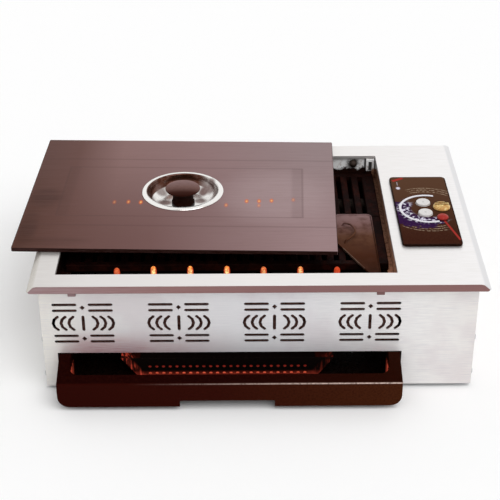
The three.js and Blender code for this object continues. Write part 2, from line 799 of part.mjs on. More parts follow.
function screws() {
  const found = [];
  for (const [sideName, side] of Object.entries({ left: -1, right: 1 })) {
    for (const [endName, end] of Object.entries({ front: -1, rear: 1 })) {
      screwHeights.forEach((z, i) => {
        const level = i === 0 ? "upper" : "lower";
        found.push(sideScrew(["screw", sideName, endName, level].join("_"), side, end, z));
      });
    }
  }
  return found;
}

// A slotted rest that holds a corner of the lid when it closes the pit.
function lidRest(side, end) {
  const x0 = side > 0 ? box.x1 - REST_INSET - REST_WIDTH : box.x0 + REST_INSET;
  const wall = end > 0 ? box.y1 : box.y0;
  const front = wall - end * REST_DEPTH;
  const top = topZ - LID_THICKNESS - SEAT_GAP;
  const strip = block(
    x0,
    x0 + REST_WIDTH,
    Math.min(front, front + end * FIREBOX_SHEET),
    Math.max(front, front + end * FIREBOX_SHEET),
    ledgeZ - FIREBOX_SHEET,
    top,
  );
  const tab = block(
    x0,
    x0 + REST_WIDTH,
    Math.min(front, wall + end * FIREBOX_SHEET),
    Math.max(front, wall + end * FIREBOX_SHEET),
    top - FIREBOX_SHEET,
    top,
  );
  const slotX = x0 + (REST_WIDTH - REST_SLOT_WIDTH) / 2;
  const slotZ = top - REST_SLOT_DROP - REST_SLOT_HEIGHT;
  const slot = block(
    slotX,
    slotX + REST_SLOT_WIDTH,
    Math.min(front - end * CUT_OVERRUN, front + end * CUT_OVERRUN),
    Math.max(front - end * CUT_OVERRUN, front + end * CUT_OVERRUN),
    slotZ,
    slotZ + REST_SLOT_HEIGHT,
  );
  return cut(join(strip, tab), slot);
}

const fireboxZ = drawerTop + FIREBOX_BOTTOM_GAP;
const sensorX = box.x1 - FIREBOX_SETBACK - SENSOR_SIDE;
const sensorZ = topZ - SENSOR_DROP;
const electrodeY = burnerRows.front - ELECTRODE_FORWARD;
const electrodeZ = burnerZ + ELECTRODE_RISE;

function firebox() {
  const outer = grown(box, FIREBOX_SHEET);
  const walls = cut(blockOn(outer, fireboxZ, underTop), blockOn(box, baseZ, topZ));
  const flange = cut(
    blockOn(grown(outer, FIREBOX_FLANGE), underTop - FIREBOX_SHEET, underTop),
    blockOn(box, baseZ, topZ),
  );
  const ledge = cut(
    blockOn(grown(box, FIREBOX_SHEET / 2), ledgeZ - FIREBOX_SHEET, ledgeZ),
    blockOn(grown(box, -LEDGE_WIDTH), baseZ, topZ),
  );
  const rests = [lidRest(-1, -1), lidRest(1, -1), lidRest(-1, 1), lidRest(1, 1)];
  const holes = Object.values(burnerRows).map((y) =>
    rodX(
      BURNER_RADIUS + RUNNING_GAP,
      outer.x0 - CUT_OVERRUN,
      outer.x1 + CUT_OVERRUN,
      y,
      burnerZ,
      ROUND_SIDES,
    ),
  );
  holes.push(
    rodY(
      SENSOR_SHANK_RADIUS + SEAT_GAP,
      sensorX,
      box.y1 - CUT_OVERRUN,
      box.y1 + CUT_OVERRUN,
      sensorZ,
      SMALL_SIDES,
    ),
    rodX(
      ELECTRODE_RADIUS + SEAT_GAP,
      box.x1 - CUT_OVERRUN,
      box.x1 + CUT_OVERRUN,
      electrodeY,
      electrodeZ,
      SMALL_SIDES,
    ),
  );
  return piece("firebox", cut(join(walls, flange, ledge, ...rests), ...holes), linerSteel);
}

// A cast grate with slots across its depth.
function grate(name, area) {
  const pitch = GRATE_SLOT_WIDTH + GRATE_BAR_WIDTH;
  const room = area.x1 - area.x0 - 2 * GRATE_RIM;
  const count = Math.floor((room + GRATE_BAR_WIDTH) / pitch);
  const first = area.cx - ((count - 1) * pitch) / 2;
  const z1 = grateZ + GRATE_THICKNESS;
  const slots = [];
  for (let i = 0; i < count; i += 1) {
    const x0 = first + i * pitch - GRATE_SLOT_WIDTH / 2;
    const x1 = x0 + GRATE_SLOT_WIDTH;
    slots.push(
      block(x0, x1, area.y0 + GRATE_RIM, area.y1 - GRATE_RIM, grateZ - CUT_OVERRUN, z1 + CUT_OVERRUN),
    );
  }
  return piece(name, cut(blockOn(area, grateZ, z1), ...slots), castIron);
}

const grateInset = LEDGE_WIDTH * GRATE_LEDGE_SHARE;
const splitY = box.y0 + (box.y1 - box.y0) * GRATE_SPLIT_SHARE;
const grateX0 = box.x0 + grateInset;
const grateWidth = box.x1 - box.x0 - 2 * grateInset;
const rearGrate = span(grateX0, grateWidth, splitY, box.y1 - REST_DEPTH - RUNNING_GAP - splitY);
const frontGrateY = box.y0 + GRATE_FRONT_SETBACK;
const frontGrate = span(grateX0, grateWidth, frontGrateY, splitY - GRATE_GAP - frontGrateY);

// The bright plate that lies on the front grate's right end, with its low turned-up rim.
function restingPlate() {
  const z = grateZ + GRATE_THICKNESS + SEAT_GAP;
  const x0 = frontGrate.x1 - PLATE_SIDE_MARGIN - PLATE_WIDTH;
  const area = span(x0, PLATE_WIDTH, frontGrate.y0 - PLATE_FRONT_OVERHANG, PLATE_DEPTH);
  const shell = prismZ(rounded(area, PLATE_CORNER), z, z + PLATE_RIM);
  const inner = rounded(grown(area, -PLATE_SHEET), PLATE_CORNER - PLATE_SHEET);
  const dish = prismZ(inner, z + PLATE_SHEET, z + PLATE_RIM + CUT_OVERRUN);
  const slant = slantWedge(area, 0, z);
  const slantInner = slantWedge(area, PLATE_SHEET, z);
  const tray = cut(shell, cut(dish, slantInner), slant);
  return piece("resting_plate", join(tray, plateHandle(area, z + PLATE_SHEET / 2)), linerSteel);
}

// What the slanted cut takes off the plate's front left corner, moved in for the rim's inner face.
function slantWedge(area, inset, z) {
  const corners = [
    [area.x0 - CUT_OVERRUN, area.y0 - CUT_OVERRUN],
    [area.x0 + PLATE_CUT_WIDTH + inset, area.y0 - CUT_OVERRUN],
    [area.x0 + PLATE_CUT_WIDTH + inset, area.y0],
    [area.x0 + inset, area.y0 + PLATE_CUT_DEPTH],
    [area.x0 - CUT_OVERRUN, area.y0 + PLATE_CUT_DEPTH],
  ];
  return prismZ(outline(corners), z - CUT_OVERRUN, z + PLATE_RIM + 2 * CUT_OVERRUN);
}

// A wire loop to lift the plate by, its feet set in the plate and its bow leaning to the right.
function plateHandle(area, z) {
  const half = HANDLE_SPAN / 2;
  const cy = area.y1 - HANDLE_REAR_MARGIN;
  const foot = area.cx - HANDLE_REACH;
  const bow = area.cx;
  const shoulder = half * HANDLE_SHOULDER_SHARE;
  const path = new THREE.CatmullRomCurve3([
    new THREE.Vector3(foot, cy - half, z),
    new THREE.Vector3(foot, cy - half, z + HANDLE_RISE / 2),
    new THREE.Vector3(bow - HANDLE_RISE, cy - shoulder, z + HANDLE_RISE),
    new THREE.Vector3(bow, cy, z + HANDLE_RISE),
    new THREE.Vector3(bow - HANDLE_RISE, cy + shoulder, z + HANDLE_RISE),
    new THREE.Vector3(foot, cy + half, z + HANDLE_RISE / 2),
    new THREE.Vector3(foot, cy + half, z),
  ]);
  return solidOf(sweep(path, HANDLE_WIRE, HOLE_SIDES, WIRE_STEPS));
}

// A round wire or pipe along a path.
function sweep(path, radius, sides, steps) {
  const section = new THREE.Shape();
  section.absarc(0, 0, radius, 0, 2 * Math.PI);
  return new THREE.ExtrudeGeometry(section, { steps, extrudePath: path, curveSegments: sides / 2 });
}

// A burner pipe, closed on the left, with its ports on top.
function burner(name, y) {
  const x0 = box.x0 - FIREBOX_SHEET - BURNER_OVERHANG_LEFT;
  const length = burnerEnd - x0;
  const bore = BURNER_RADIUS - BURNER_SHEET;
  const profile = [
    [0, 0],
    [BURNER_RADIUS, 0],
    [BURNER_RADIUS, length],
    [bore, length],
    [bore, BURNER_SHEET],
    [0, BURNER_SHEET],
  ];
  const pipe = solidOf(alongX(turned(profile, ROUND_SIDES)).translate(x0, y, burnerZ));
  const pitch = (pitWidth * PORT_ROW_SHARE) / (PORTS - 1);
  const ports = [];
  for (let i = 0; i < PORTS; i += 1) {
    const x = pit.cx + (i - (PORTS - 1) / 2) * pitch;
    ports.push(rodZ(PORT_RADIUS, x, y, burnerZ, burnerZ + BURNER_RADIUS + CUT_OVERRUN, HOLE_SIDES));
  }
  return piece(name, cut(pipe, ...ports), burnerSteel);
}

// The mixing tube between an injector and its burner, narrowest at the throat.
function mixer(name, y) {
  const spigot = BURNER_RADIUS - BURNER_SHEET - SEAT_GAP;
  const throat = MIXER_SPIGOT + (MIXER_LENGTH - MIXER_SPIGOT) / 2;
  const profile = [
    [spigot - MIXER_SHEET, 0],
    [spigot, 0],
    [spigot, MIXER_SPIGOT + SEAT_GAP],
    [MIXER_THROAT + MIXER_SHEET, throat],
    [BURNER_RADIUS, MIXER_LENGTH],
    [BURNER_RADIUS - MIXER_SHEET, MIXER_LENGTH],
    [MIXER_THROAT, throat],
    [spigot - MIXER_SHEET, MIXER_SPIGOT],
    [spigot - MIXER_SHEET, 0],
  ];
  const x = burnerEnd - MIXER_SPIGOT;
  return piece(name, alongX(turned(profile, ROUND_SIDES)).translate(x, y, burnerZ), burnerSteel);
}

const mixerMouth = burnerEnd - MIXER_SPIGOT + MIXER_LENGTH;
const injectorX = mixerMouth + INJECTOR_AIR_GAP;
const railX = injectorX + INJECTOR_LENGTH + SEAT_GAP + RAIL_BOSS_LENGTH + RAIL_RADIUS;

// A brass injector whose nose points into the mixing tube.
function injector(name, y) {
  const profile = [
    [INJECTOR_ORIFICE, 0],
    [INJECTOR_NOSE, 0],
    [INJECTOR_RADIUS, INJECTOR_LENGTH / 2],
    [INJECTOR_RADIUS, INJECTOR_LENGTH],
    [INJECTOR_ORIFICE, INJECTOR_LENGTH],
    [INJECTOR_ORIFICE, 0],
  ];
  return piece(name, alongX(turned(profile, SMALL_SIDES)).translate(injectorX, y, burnerZ), brass);
}

// The rail that feeds both injectors, with its riser from the valve.
function gasRail() {
  const y0 = burnerRows.front - RAIL_OVERRUN;
  const y1 = burnerRows.rear + RAIL_OVERRUN;
  const bar = rodY(RAIL_RADIUS, railX, y0, y1, burnerZ, SMALL_SIDES);
  const bosses = Object.values(burnerRows).map((y) =>
    rodX(RAIL_BOSS_RADIUS, injectorX + INJECTOR_LENGTH + SEAT_GAP, railX, y, burnerZ, SMALL_SIDES),
  );
  const ends = [knobX, railX];
  const elbow = rodX(
    RAIL_OUTLET_RADIUS,
    Math.min(...ends),
    Math.max(...ends),
    dial.y,
    burnerZ,
    SMALL_SIDES,
  );
  const riserZ = burnerZ - RAIL_OUTLET_RADIUS;
  const riser = rodZ(RAIL_OUTLET_RADIUS, knobX, dial.y, riserZ, valveZ - SEAT_GAP, SMALL_SIDES);
  return piece("gas_rail", join(bar, ...bosses, elbow, riser), galvanised);
}

const bonnetZ = valveZ + VALVE_HEIGHT + VALVE_BONNET_HEIGHT;
const valveRearY = dial.y + VALVE_DEPTH / 2;

function gasValve() {
  const area = span(knobX - VALVE_WIDTH / 2, VALVE_WIDTH, dial.y - VALVE_DEPTH / 2, VALVE_DEPTH);
  const body = prismZ(rounded(area, MODULE_FILLET), valveZ, valveZ + VALVE_HEIGHT);
  const bonnet = rodZ(
    VALVE_BONNET_RADIUS,
    knobX,
    dial.y,
    valveZ + VALVE_HEIGHT / 2,
    bonnetZ,
    ROUND_SIDES,
  );
  const inlet = rodY(
    VALVE_INLET_RADIUS,
    knobX,
    dial.y,
    valveRearY + VALVE_INLET_LENGTH,
    inletZ,
    ROUND_SIDES,
  );
  const socketZ = bonnetZ - VALVE_SOCKET_DEPTH;
  const socket = rodZ(
    SPINDLE_RADIUS + SEAT_GAP,
    knobX,
    dial.y,
    socketZ,
    bonnetZ + CUT_OVERRUN,
    SMALL_SIDES,
  );
  return piece("gas_valve", cut(join(body, bonnet, inlet), socket), brass);
}

// The valve's spindle, with the flat that turns it with the knob.
function spindle() {
  const z0 = bonnetZ - VALVE_SOCKET_DEPTH + SEAT_GAP;
  const z1 = faceZ + KNOB_HEIGHT / 2;
  const rod = rodZ(SPINDLE_RADIUS, knobX, dial.y, z0, z1, SMALL_SIDES);
  const flatX = knobX + SPINDLE_RADIUS * SPINDLE_FLAT_SHARE;
  const area = span(flatX, SPINDLE_RADIUS, dial.y - SPINDLE_RADIUS, 2 * SPINDLE_RADIUS);
  const flat = blockOn(area, faceZ, z1 + CUT_OVERRUN);
  return piece("valve_spindle", cut(rod, flat), brass);
}

// The pipe from the inlet fitting on the rear panel to the valve.
function inletPipe() {
  const y0 = valveRearY + VALVE_INLET_LENGTH + SEAT_GAP;
  const y1 = wallY - NIPPLE_THREAD - PANEL_SHEET - SEAT_GAP;
  return piece("inlet_pipe", rodY(INLET_PIPE_RADIUS, inletX, y0, y1, inletZ, ROUND_SIDES), brass);
}

// The barbed nipple for the gas hose, its thread passed through the rear panel.
function hoseNipple() {
  const profile = [
    [NIPPLE_BORE, -NIPPLE_THREAD - PANEL_SHEET],
    [threadReach, -NIPPLE_THREAD - PANEL_SHEET],
    [threadReach, SEAT_GAP],
    [NIPPLE_COLLAR_RADIUS, SEAT_GAP],
    [NIPPLE_COLLAR_RADIUS, SEAT_GAP + NIPPLE_COLLAR],
  ];
  const barb = (NIPPLE_LENGTH - NIPPLE_COLLAR) / NIPPLE_BARBS;
  for (let i = 0; i < NIPPLE_BARBS; i += 1) {
    const y = SEAT_GAP + NIPPLE_COLLAR + i * barb;
    profile.push([NIPPLE_RADIUS, y + barb * BARB_ROOT_SHARE]);
    profile.push([NIPPLE_RADIUS + NIPPLE_BARB, y + barb * BARB_CREST_SHARE]);
  }
  profile.push([NIPPLE_RADIUS, SEAT_GAP + NIPPLE_LENGTH], [NIPPLE_BORE, SEAT_GAP + NIPPLE_LENGTH]);
  profile.push([NIPPLE_BORE, -NIPPLE_THREAD - PANEL_SHEET]);
  return piece(
    "hose_nipple",
    alongY(turned(profile, ROUND_SIDES)).translate(inletX, wallY, inletZ),
    brass,
  );
}

function inletNut() {
  const y0 = wallY - PANEL_SHEET - SEAT_GAP - NUT_HEIGHT;
  const y1 = y0 + NUT_HEIGHT;
  const nut = rodY(NUT_RADIUS, inletX, y0, y1, inletZ, HEX_SIDES);
  const bore = rodY(
    threadReach + SEAT_GAP,
    inletX,
    y0 - CUT_OVERRUN,
    y1 + CUT_OVERRUN,
    inletZ,
    ROUND_SIDES,
  );
  return piece("inlet_nut", cut(nut, bore), brass);
}

// The flame sensor on the pit's rear wall, its shank through the wall.
function flameSensor() {
  const profile = [
    [0, -SENSOR_SHANK],
    [SENSOR_SHANK_RADIUS, -SENSOR_SHANK],
    [SENSOR_SHANK_RADIUS, SEAT_GAP],
    [SENSOR_RADIUS, SEAT_GAP],
    [SENSOR_RADIUS, SENSOR_HEAD - SENSOR_RADIUS / 2],
    [SENSOR_RADIUS / 2, SENSOR_HEAD],
    [0, SENSOR_HEAD],
  ];
  const geometry = turned(profile, ROUND_SIDES).rotateX(Math.PI / 2).translate(sensorX, box.y1, sensorZ);
  return piece("flame_sensor", geometry, burnerSteel);
}

// The spark electrode: a ceramic rod through the pit's right wall with a pin towards the last port.
function electrode() {
  const x1 = shieldX + PANEL_SHEET + SENSOR_SHANK;
  const tip = x1 - ELECTRODE_CERAMIC;
  const rod = rodX(ELECTRODE_RADIUS, tip, x1, electrodeY, electrodeZ, SMALL_SIDES);
  const pin = rodX(
    ELECTRODE_PIN_RADIUS,
    tip - ELECTRODE_PIN,
    tip + CUT_OVERRUN,
    electrodeY,
    electrodeZ,
    HOLE_SIDES,
  );
  return piece("spark_electrode", join(rod, pin), ceramic);
}

function heatShield() {
  const sheet = block(
    shieldX,
    shieldX + PANEL_SHEET,
    -innerY,
    innerY,
    floorZ + SEAT_GAP,
    underTop - FIREBOX_SHEET - SEAT_GAP,
  );
  const x0 = shieldX - CUT_OVERRUN;
  const x1 = shieldX + PANEL_SHEET + CUT_OVERRUN;
  const holes = Object.values(burnerRows).map((y) =>
    rodX(BURNER_RADIUS + RUNNING_GAP, x0, x1, y, burnerZ, ROUND_SIDES),
  );
  holes.push(rodX(ELECTRODE_RADIUS + SEAT_GAP, x0, x1, electrodeY, electrodeZ, SMALL_SIDES));
  return piece("heat_shield", cut(sheet, ...holes), galvanised);
}

// Room of the control bay between the heat shield and the right panel.
const bayX = (shieldX + PANEL_SHEET + innerX) / 2;

function igniter() {
  const x = shieldX + PANEL_SHEET + MODULE_FILLET;
  const area = span(x, IGNITER_WIDTH, innerY - IGNITER_REAR_MARGIN - IGNITER_DEPTH, IGNITER_DEPTH);
  const z = floorZ + SEAT_GAP;
  return piece(
    "igniter_module",
    prismZ(rounded(area, MODULE_FILLET), z, z + IGNITER_HEIGHT),
    blackPlastic,
  );
}

function batteryBox() {
  const area = span(
    bayX - BATTERY_WIDTH / 2,
    BATTERY_WIDTH,
    BATTERY_FRONT_MARGIN - innerY,
    BATTERY_DEPTH,
  );
  const z = floorZ + SEAT_GAP;
  const top = z + BATTERY_HEIGHT;
  const shell = prismZ(rounded(area, MODULE_FILLET), z, top);
  const bay = blockOn(grown(area, -BATTERY_BAY_WALL), z + BATTERY_BAY_WALL, top + CUT_OVERRUN);
  return piece("battery_box", cut(shell, bay), blackPlastic);
}

// The control panel, with posts below it that carry the circuit board.
function controlPanel() {
  const plate = prismZ(rounded(control, CONTROL_CORNER), controlZ, faceZ);
  const posts = boardPosts().map(([x, y]) =>
    rodZ(BOSS_RADIUS, x, y, boardZ + SEAT_GAP, faceZ - CONTROL_THICKNESS / 2, SMALL_SIDES),
  );
  const z0 = boardZ;
  const z1 = faceZ + CUT_OVERRUN;
  const holes = [
    rodZ(SPINDLE_RADIUS + RUNNING_GAP, knobX, dial.y, z0, z1, ROUND_SIDES),
    rodZ(LAMP_STEM_RADIUS + SEAT_GAP, lamp.x, lamp.y, z0, z1, ROUND_SIDES),
    ...Object.values(buttonRows).map(
      (y) => rodZ(BUTTON_RADIUS + RUNNING_GAP, dial.x, y, z0, z1, ROUND_SIDES),
    ),
  ];
  return piece("control_panel", cut(join(plate, ...posts), ...holes), controlFilm);
}

function boardArea() {
  return span(control.cx - BOARD_WIDTH / 2, BOARD_WIDTH, dial.y - BOARD_DEPTH / 2, BOARD_DEPTH);
}

function boardPosts() {
  const area = grown(boardArea(), -BOSS_INSET);
  return [
    [area.x0, area.y0],
    [area.x1, area.y0],
    [area.x0, area.y1],
    [area.x1, area.y1],
  ];
}

// The dial's raised scale band round the buttons, open on the side where the knob and the lamp stand.
function dialBand() {
  const z = faceZ + SEAT_GAP;
  const z0 = z - CUT_OVERRUN;
  const z1 = z + DIAL_HEIGHT + CUT_OVERRUN;
  const x = dial.x + DIAL_BAND_RIGHT;
  const y = dial.y - DIAL_BAND_FORWARD;
  const ring = cut(
    rodZ(DIAL_RADIUS, x, y, z, z + DIAL_HEIGHT, FINE_SIDES),
    rodZ(DIAL_RADIUS - DIAL_BAND, x, y, z0, z1, FINE_SIDES),
    block(x + DIAL_BAND_END, x + 2 * DIAL_RADIUS, y - 2 * DIAL_RADIUS, y + 2 * DIAL_RADIUS, z0, z1),
  );
  return piece("dial_band", ring, whitePlastic);
}

// A push button: a dished cap, a shoulder below the panel and a stem over its switch.
function button(name, y) {
  const stemEnd = boardZ + SWITCH_HEIGHT + SEAT_GAP + BUTTON_TRAVEL;
  const shoulderTop = controlZ - SEAT_GAP;
  const crown = faceZ + BUTTON_HEIGHT;
  const profile = [
    [0, stemEnd],
    [BUTTON_STEM_RADIUS, stemEnd],
    [BUTTON_STEM_RADIUS, shoulderTop - BUTTON_SHOULDER_HEIGHT],
    [BUTTON_RADIUS + BUTTON_SHOULDER, shoulderTop - BUTTON_SHOULDER_HEIGHT],
    [BUTTON_RADIUS + BUTTON_SHOULDER, shoulderTop],
    [BUTTON_RADIUS, shoulderTop],
    [BUTTON_RADIUS, crown - BUTTON_DISH],
    [BUTTON_RADIUS - BUTTON_DISH, crown],
    [0, crown - BUTTON_DISH],
  ];
  return piece(name, turned(profile, ROUND_SIDES).translate(dial.x, y, 0), whitePlastic);
}

// The board, with a switch below each button and a hole for the spindle.
function circuitBoard() {
  const sheet = blockOn(boardArea(), boardZ - BOARD_SHEET, boardZ);
  const half = SWITCH_SIZE / 2;
  const switches = Object.values(buttonRows).map((y) => {
    const area = span(dial.x - half, SWITCH_SIZE, y - half, SWITCH_SIZE);
    const body = blockOn(area, boardZ - BOARD_SHEET / 2, boardZ + SWITCH_HEIGHT / 2);
    return join(body, rodZ(SWITCH_PLUNGER_RADIUS, dial.x, y, boardZ, boardZ + SWITCH_HEIGHT, HOLE_SIDES));
  });
  const z0 = boardZ - CUT_OVERRUN;
  const z1 = boardZ + CUT_OVERRUN;
  const hole = rodZ(SPINDLE_RADIUS + 2 * RUNNING_GAP, knobX, dial.y, z0, z1, SMALL_SIDES);
  return piece("circuit_board", cut(join(sheet, ...switches), hole), boardGreen);
}

// The control knob: a round cap with a raised grip across it, bored for the spindle.
function flameKnob() {
  const z0 = faceZ + RUNNING_GAP;
  const z1 = faceZ + KNOB_HEIGHT - KNOB_GRIP_HEIGHT;
  const profile = [
    [0, z0],
    [KNOB_RADIUS, z0],
    [KNOB_RADIUS, z1 - KNOB_EDGE],
    [KNOB_RADIUS - KNOB_EDGE, z1],
    [0, z1],
  ];
  const cap = solidOf(turned(profile, ROUND_SIDES).translate(knobX, dial.y, 0));
  const grip = block(
    knobX - KNOB_RADIUS + KNOB_EDGE,
    knobX + KNOB_RADIUS - KNOB_EDGE,
    dial.y - KNOB_GRIP_WIDTH / 2,
    dial.y + KNOB_GRIP_WIDTH / 2,
    z1 - KNOB_EDGE,
    z1 + KNOB_GRIP_HEIGHT,
  );
  const boreTop = faceZ + KNOB_HEIGHT / 2 + SEAT_GAP;
  const bore = rodZ(SPINDLE_RADIUS + SEAT_GAP, knobX, dial.y, z0 - CUT_OVERRUN, boreTop, SMALL_SIDES);
  return piece("flame_knob", cut(join(cap, grip), bore), amberPlastic);
}

function pilotLamp() {
  const rim = faceZ + SEAT_GAP;
  const domeZ = rim + LAMP_HEIGHT * LAMP_RIM_SHARE;
  const rise = rim + LAMP_HEIGHT - domeZ;
  const profile = [
    [0, boardZ + SEAT_GAP],
    [LAMP_STEM_RADIUS, boardZ + SEAT_GAP],
    [LAMP_STEM_RADIUS, rim],
    [LAMP_RADIUS, rim],
    [LAMP_RADIUS, domeZ],
  ];
  for (let i = 1; i <= DOME_STEPS; i += 1) {
    const angle = (i / DOME_STEPS) * (Math.PI / 2);
    profile.push([LAMP_RADIUS * Math.cos(angle), domeZ + rise * Math.sin(angle)]);
  }
  profile[profile.length - 1][0] = 0;
  return piece("pilot_lamp", turned(profile, ROUND_SIDES).translate(lamp.x, lamp.y, 0), redLens);
}

// The lid and what is fixed to it share one group, moved and turned as it lies on the flange.
function lidGroup() {
  const group = new THREE.Group();
  group.position.set(pit.cx - LID_SHIFT_LEFT, pit.cy + LID_SHIFT_BACK, topZ + SEAT_GAP);
  group.rotation.z = THREE.MathUtils.degToRad(LID_TURN_DEGREES);
  group.add(lidPlate(), lidCup(), lidKnob(), lidScrew());
  return group;
}

function lidPlate() {
  const area = grown(span(-pitWidth / 2, pitWidth, -pitDepth / 2, pitDepth), -LID_CLEARANCE);
  const plate = prismZ(rounded(area, LID_CORNER), 0, LID_THICKNESS);
  const holeRadius = CUP_RADIUS - CUP_RIM + RUNNING_GAP;
  const hole = rodZ(holeRadius, 0, 0, -CUT_OVERRUN, LID_THICKNESS + CUT_OVERRUN, FINE_SIDES);
  return piece("lid_plate", cut(plate, hole), lidGlass);
}

// The chromed cup: a rim that sits on the lid and a bowl that hangs through it.
function lidCup() {
  const wall = CUP_RADIUS - CUP_RIM;
  const rimZ = LID_THICKNESS + SEAT_GAP;
  const bowl = (radius, floor, shift) => {
    const points = [];
    for (let i = 0; i <= CUP_STEPS; i += 1) {
      const angle = (i / CUP_STEPS) * (Math.PI / 2);
      const r = CUP_FLOOR_RADIUS + (radius - CUP_FLOOR_RADIUS) * Math.sin(angle);
      points.push([r, rimZ - floor + (floor + shift) * (1 - Math.cos(angle))]);
    }
    return points;
  };
  const outside = bowl(wall, CUP_DEPTH + CUP_SHEET, 0);
  const inside = bowl(wall - CUP_SHEET, CUP_DEPTH, CUP_RIM_HEIGHT).reverse();
  const bore = LID_SCREW_RADIUS + SEAT_GAP;
  const profile = [
    [bore, rimZ - CUP_DEPTH - CUP_SHEET],
    ...outside,
    [CUP_RADIUS, rimZ],
    [CUP_RADIUS, rimZ + CUP_SHEET / 2],
    [CUP_RADIUS - CUP_RIM / 2, rimZ + CUP_RIM_HEIGHT],
    ...inside,
    [bore, rimZ - CUP_DEPTH],
    [bore, rimZ - CUP_DEPTH - CUP_SHEET],
  ];
  return piece("lid_cup", turned(profile, FINE_SIDES), chrome);
}

// The lid's knob: a collar on the cup's floor, a stout neck and a flat mushroom cap.
function lidKnob() {
  const floor = LID_THICKNESS + 2 * SEAT_GAP - CUP_DEPTH;
  const crown = LID_THICKNESS + LID_KNOB_RISE;
  const edge = crown - LID_KNOB_CAP * LID_KNOB_DOME_SHARE;
  const bore = LID_SCREW_RADIUS + SEAT_GAP;
  const profile = [
    [0, floor + LID_SCREW_LENGTH],
    [bore, floor + LID_SCREW_LENGTH],
    [bore, floor],
    [LID_KNOB_COLLAR, floor],
    [LID_KNOB_COLLAR, floor + LID_KNOB_COLLAR_HEIGHT],
    [LID_KNOB_NECK, floor + 2 * LID_KNOB_COLLAR_HEIGHT],
    [LID_KNOB_NECK, crown - LID_KNOB_CAP],
    [LID_KNOB_RADIUS * LID_KNOB_SHOULDER_SHARE, edge - LID_KNOB_CAP * LID_KNOB_UNDER_SHARE],
  ];
  for (let i = 0; i <= DOME_STEPS; i += 1) {
    const angle = (i / DOME_STEPS) * (Math.PI / 2);
    profile.push([LID_KNOB_RADIUS * Math.cos(angle), edge + (crown - edge) * Math.sin(angle)]);
  }
  profile[profile.length - 1][0] = 0;
  return piece("lid_knob", turned(profile, FINE_SIDES), knobPlastic);
}

function lidScrew() {
  const seat = LID_THICKNESS - CUP_DEPTH - CUP_SHEET;
  const profile = [
    [0, seat - LID_SCREW_HEAD],
    [LID_SCREW_HEAD_RADIUS / 2, seat - LID_SCREW_HEAD],
    [LID_SCREW_HEAD_RADIUS, seat - LID_SCREW_HEAD / 2],
    [LID_SCREW_HEAD_RADIUS, seat],
    [LID_SCREW_RADIUS, seat],
    [LID_SCREW_RADIUS, seat + LID_SCREW_LENGTH],
    [0, seat + LID_SCREW_LENGTH],
  ];
  return piece("lid_knob_screw", turned(profile, ROUND_SIDES), galvanised);
}

// Side view of the drawer: level along its length, sloping down to its face.
function drawerProfile(inset) {
  const faceTop = baseZ + DRAWER_FLOOR_GAP + DRAWER_FACE_HEIGHT;
  return outline([
    [drawer.y0 + inset, skirtZ - (inset > 0 ? CUT_OVERRUN : 0)],
    [drawer.y1 - inset, skirtZ - (inset > 0 ? CUT_OVERRUN : 0)],
    [drawer.y1 - inset, drawerTop - inset],
    [drawer.y0 + DRAWER_SLOPE, drawerTop - inset],
    [drawer.y0 + inset, faceTop - inset],
  ]);
}

// The drawer's front view: round lower corners and a finger notch in the lower edge.
function drawerFace() {
  const z0 = baseZ + DRAWER_FLOOR_GAP;
  const z1 = z0 + DRAWER_FACE_HEIGHT;
  const r = DRAWER_FACE_CORNER;
  const half = DRAWER_NOTCH_WIDTH / 2;
  const notch = z0 + DRAWER_NOTCH_HEIGHT;
  const shape = new THREE.Shape();
  shape.moveTo(drawer.x1, z1);
  shape.lineTo(drawer.x0, z1);
  shape.absarc(drawer.x0 + r, z0 + r, r, Math.PI, 1.5 * Math.PI);
  shape.lineTo(pit.cx - half, z0);
  shape.lineTo(pit.cx - half, notch);
  shape.lineTo(pit.cx + half, notch);
  shape.lineTo(pit.cx + half, z0);
  shape.absarc(drawer.x1 - r, z0 + r, r, 1.5 * Math.PI, 2 * Math.PI);
  shape.closePath();
  return shape;
}

function drawerFrame() {
  const corner = DRAWER_RIM_CORNER;
  const above = drawerTop + CUT_OVERRUN;
  const below = skirtZ - CUT_OVERRUN;
  const outer = prismX(drawerProfile(0), drawer.x0, drawer.x1);
  const hollow = cut(
    prismX(drawerProfile(DRAWER_SHEET), drawer.x0 + DRAWER_SHEET, drawer.x1 - DRAWER_SHEET),
    prismZ(rounded(grown(cavity, DRAWER_SHEET), corner + DRAWER_SHEET), below - CUT_OVERRUN, above),
  );
  const well = prismZ(rounded(cavity, corner), skirtZ + DRAWER_SHEET, above);
  const mouth = prismZ(rounded(grown(cavity, -PAN_LEDGE), corner), below, above);
  const skirt = cut(outer, hollow, well, mouth, drawerNotch());
  const face = prismY(drawerFace(), faceY, faceY + DRAWER_FACE_SHEET);
  const corners = drawerCornerCuts();
  return piece("drawer_frame", join(cut(skirt, ...corners), face), enamel);
}

// What the finger notch takes off the frame's front wall, behind the face.
function drawerNotch() {
  const half = DRAWER_NOTCH_WIDTH / 2;
  const top = baseZ + DRAWER_FLOOR_GAP + DRAWER_NOTCH_HEIGHT;
  const y1 = faceY + DRAWER_FACE_SHEET + DRAWER_SHEET;
  return block(pit.cx - half, pit.cx + half, faceY - CUT_OVERRUN, y1, baseZ, top);
}

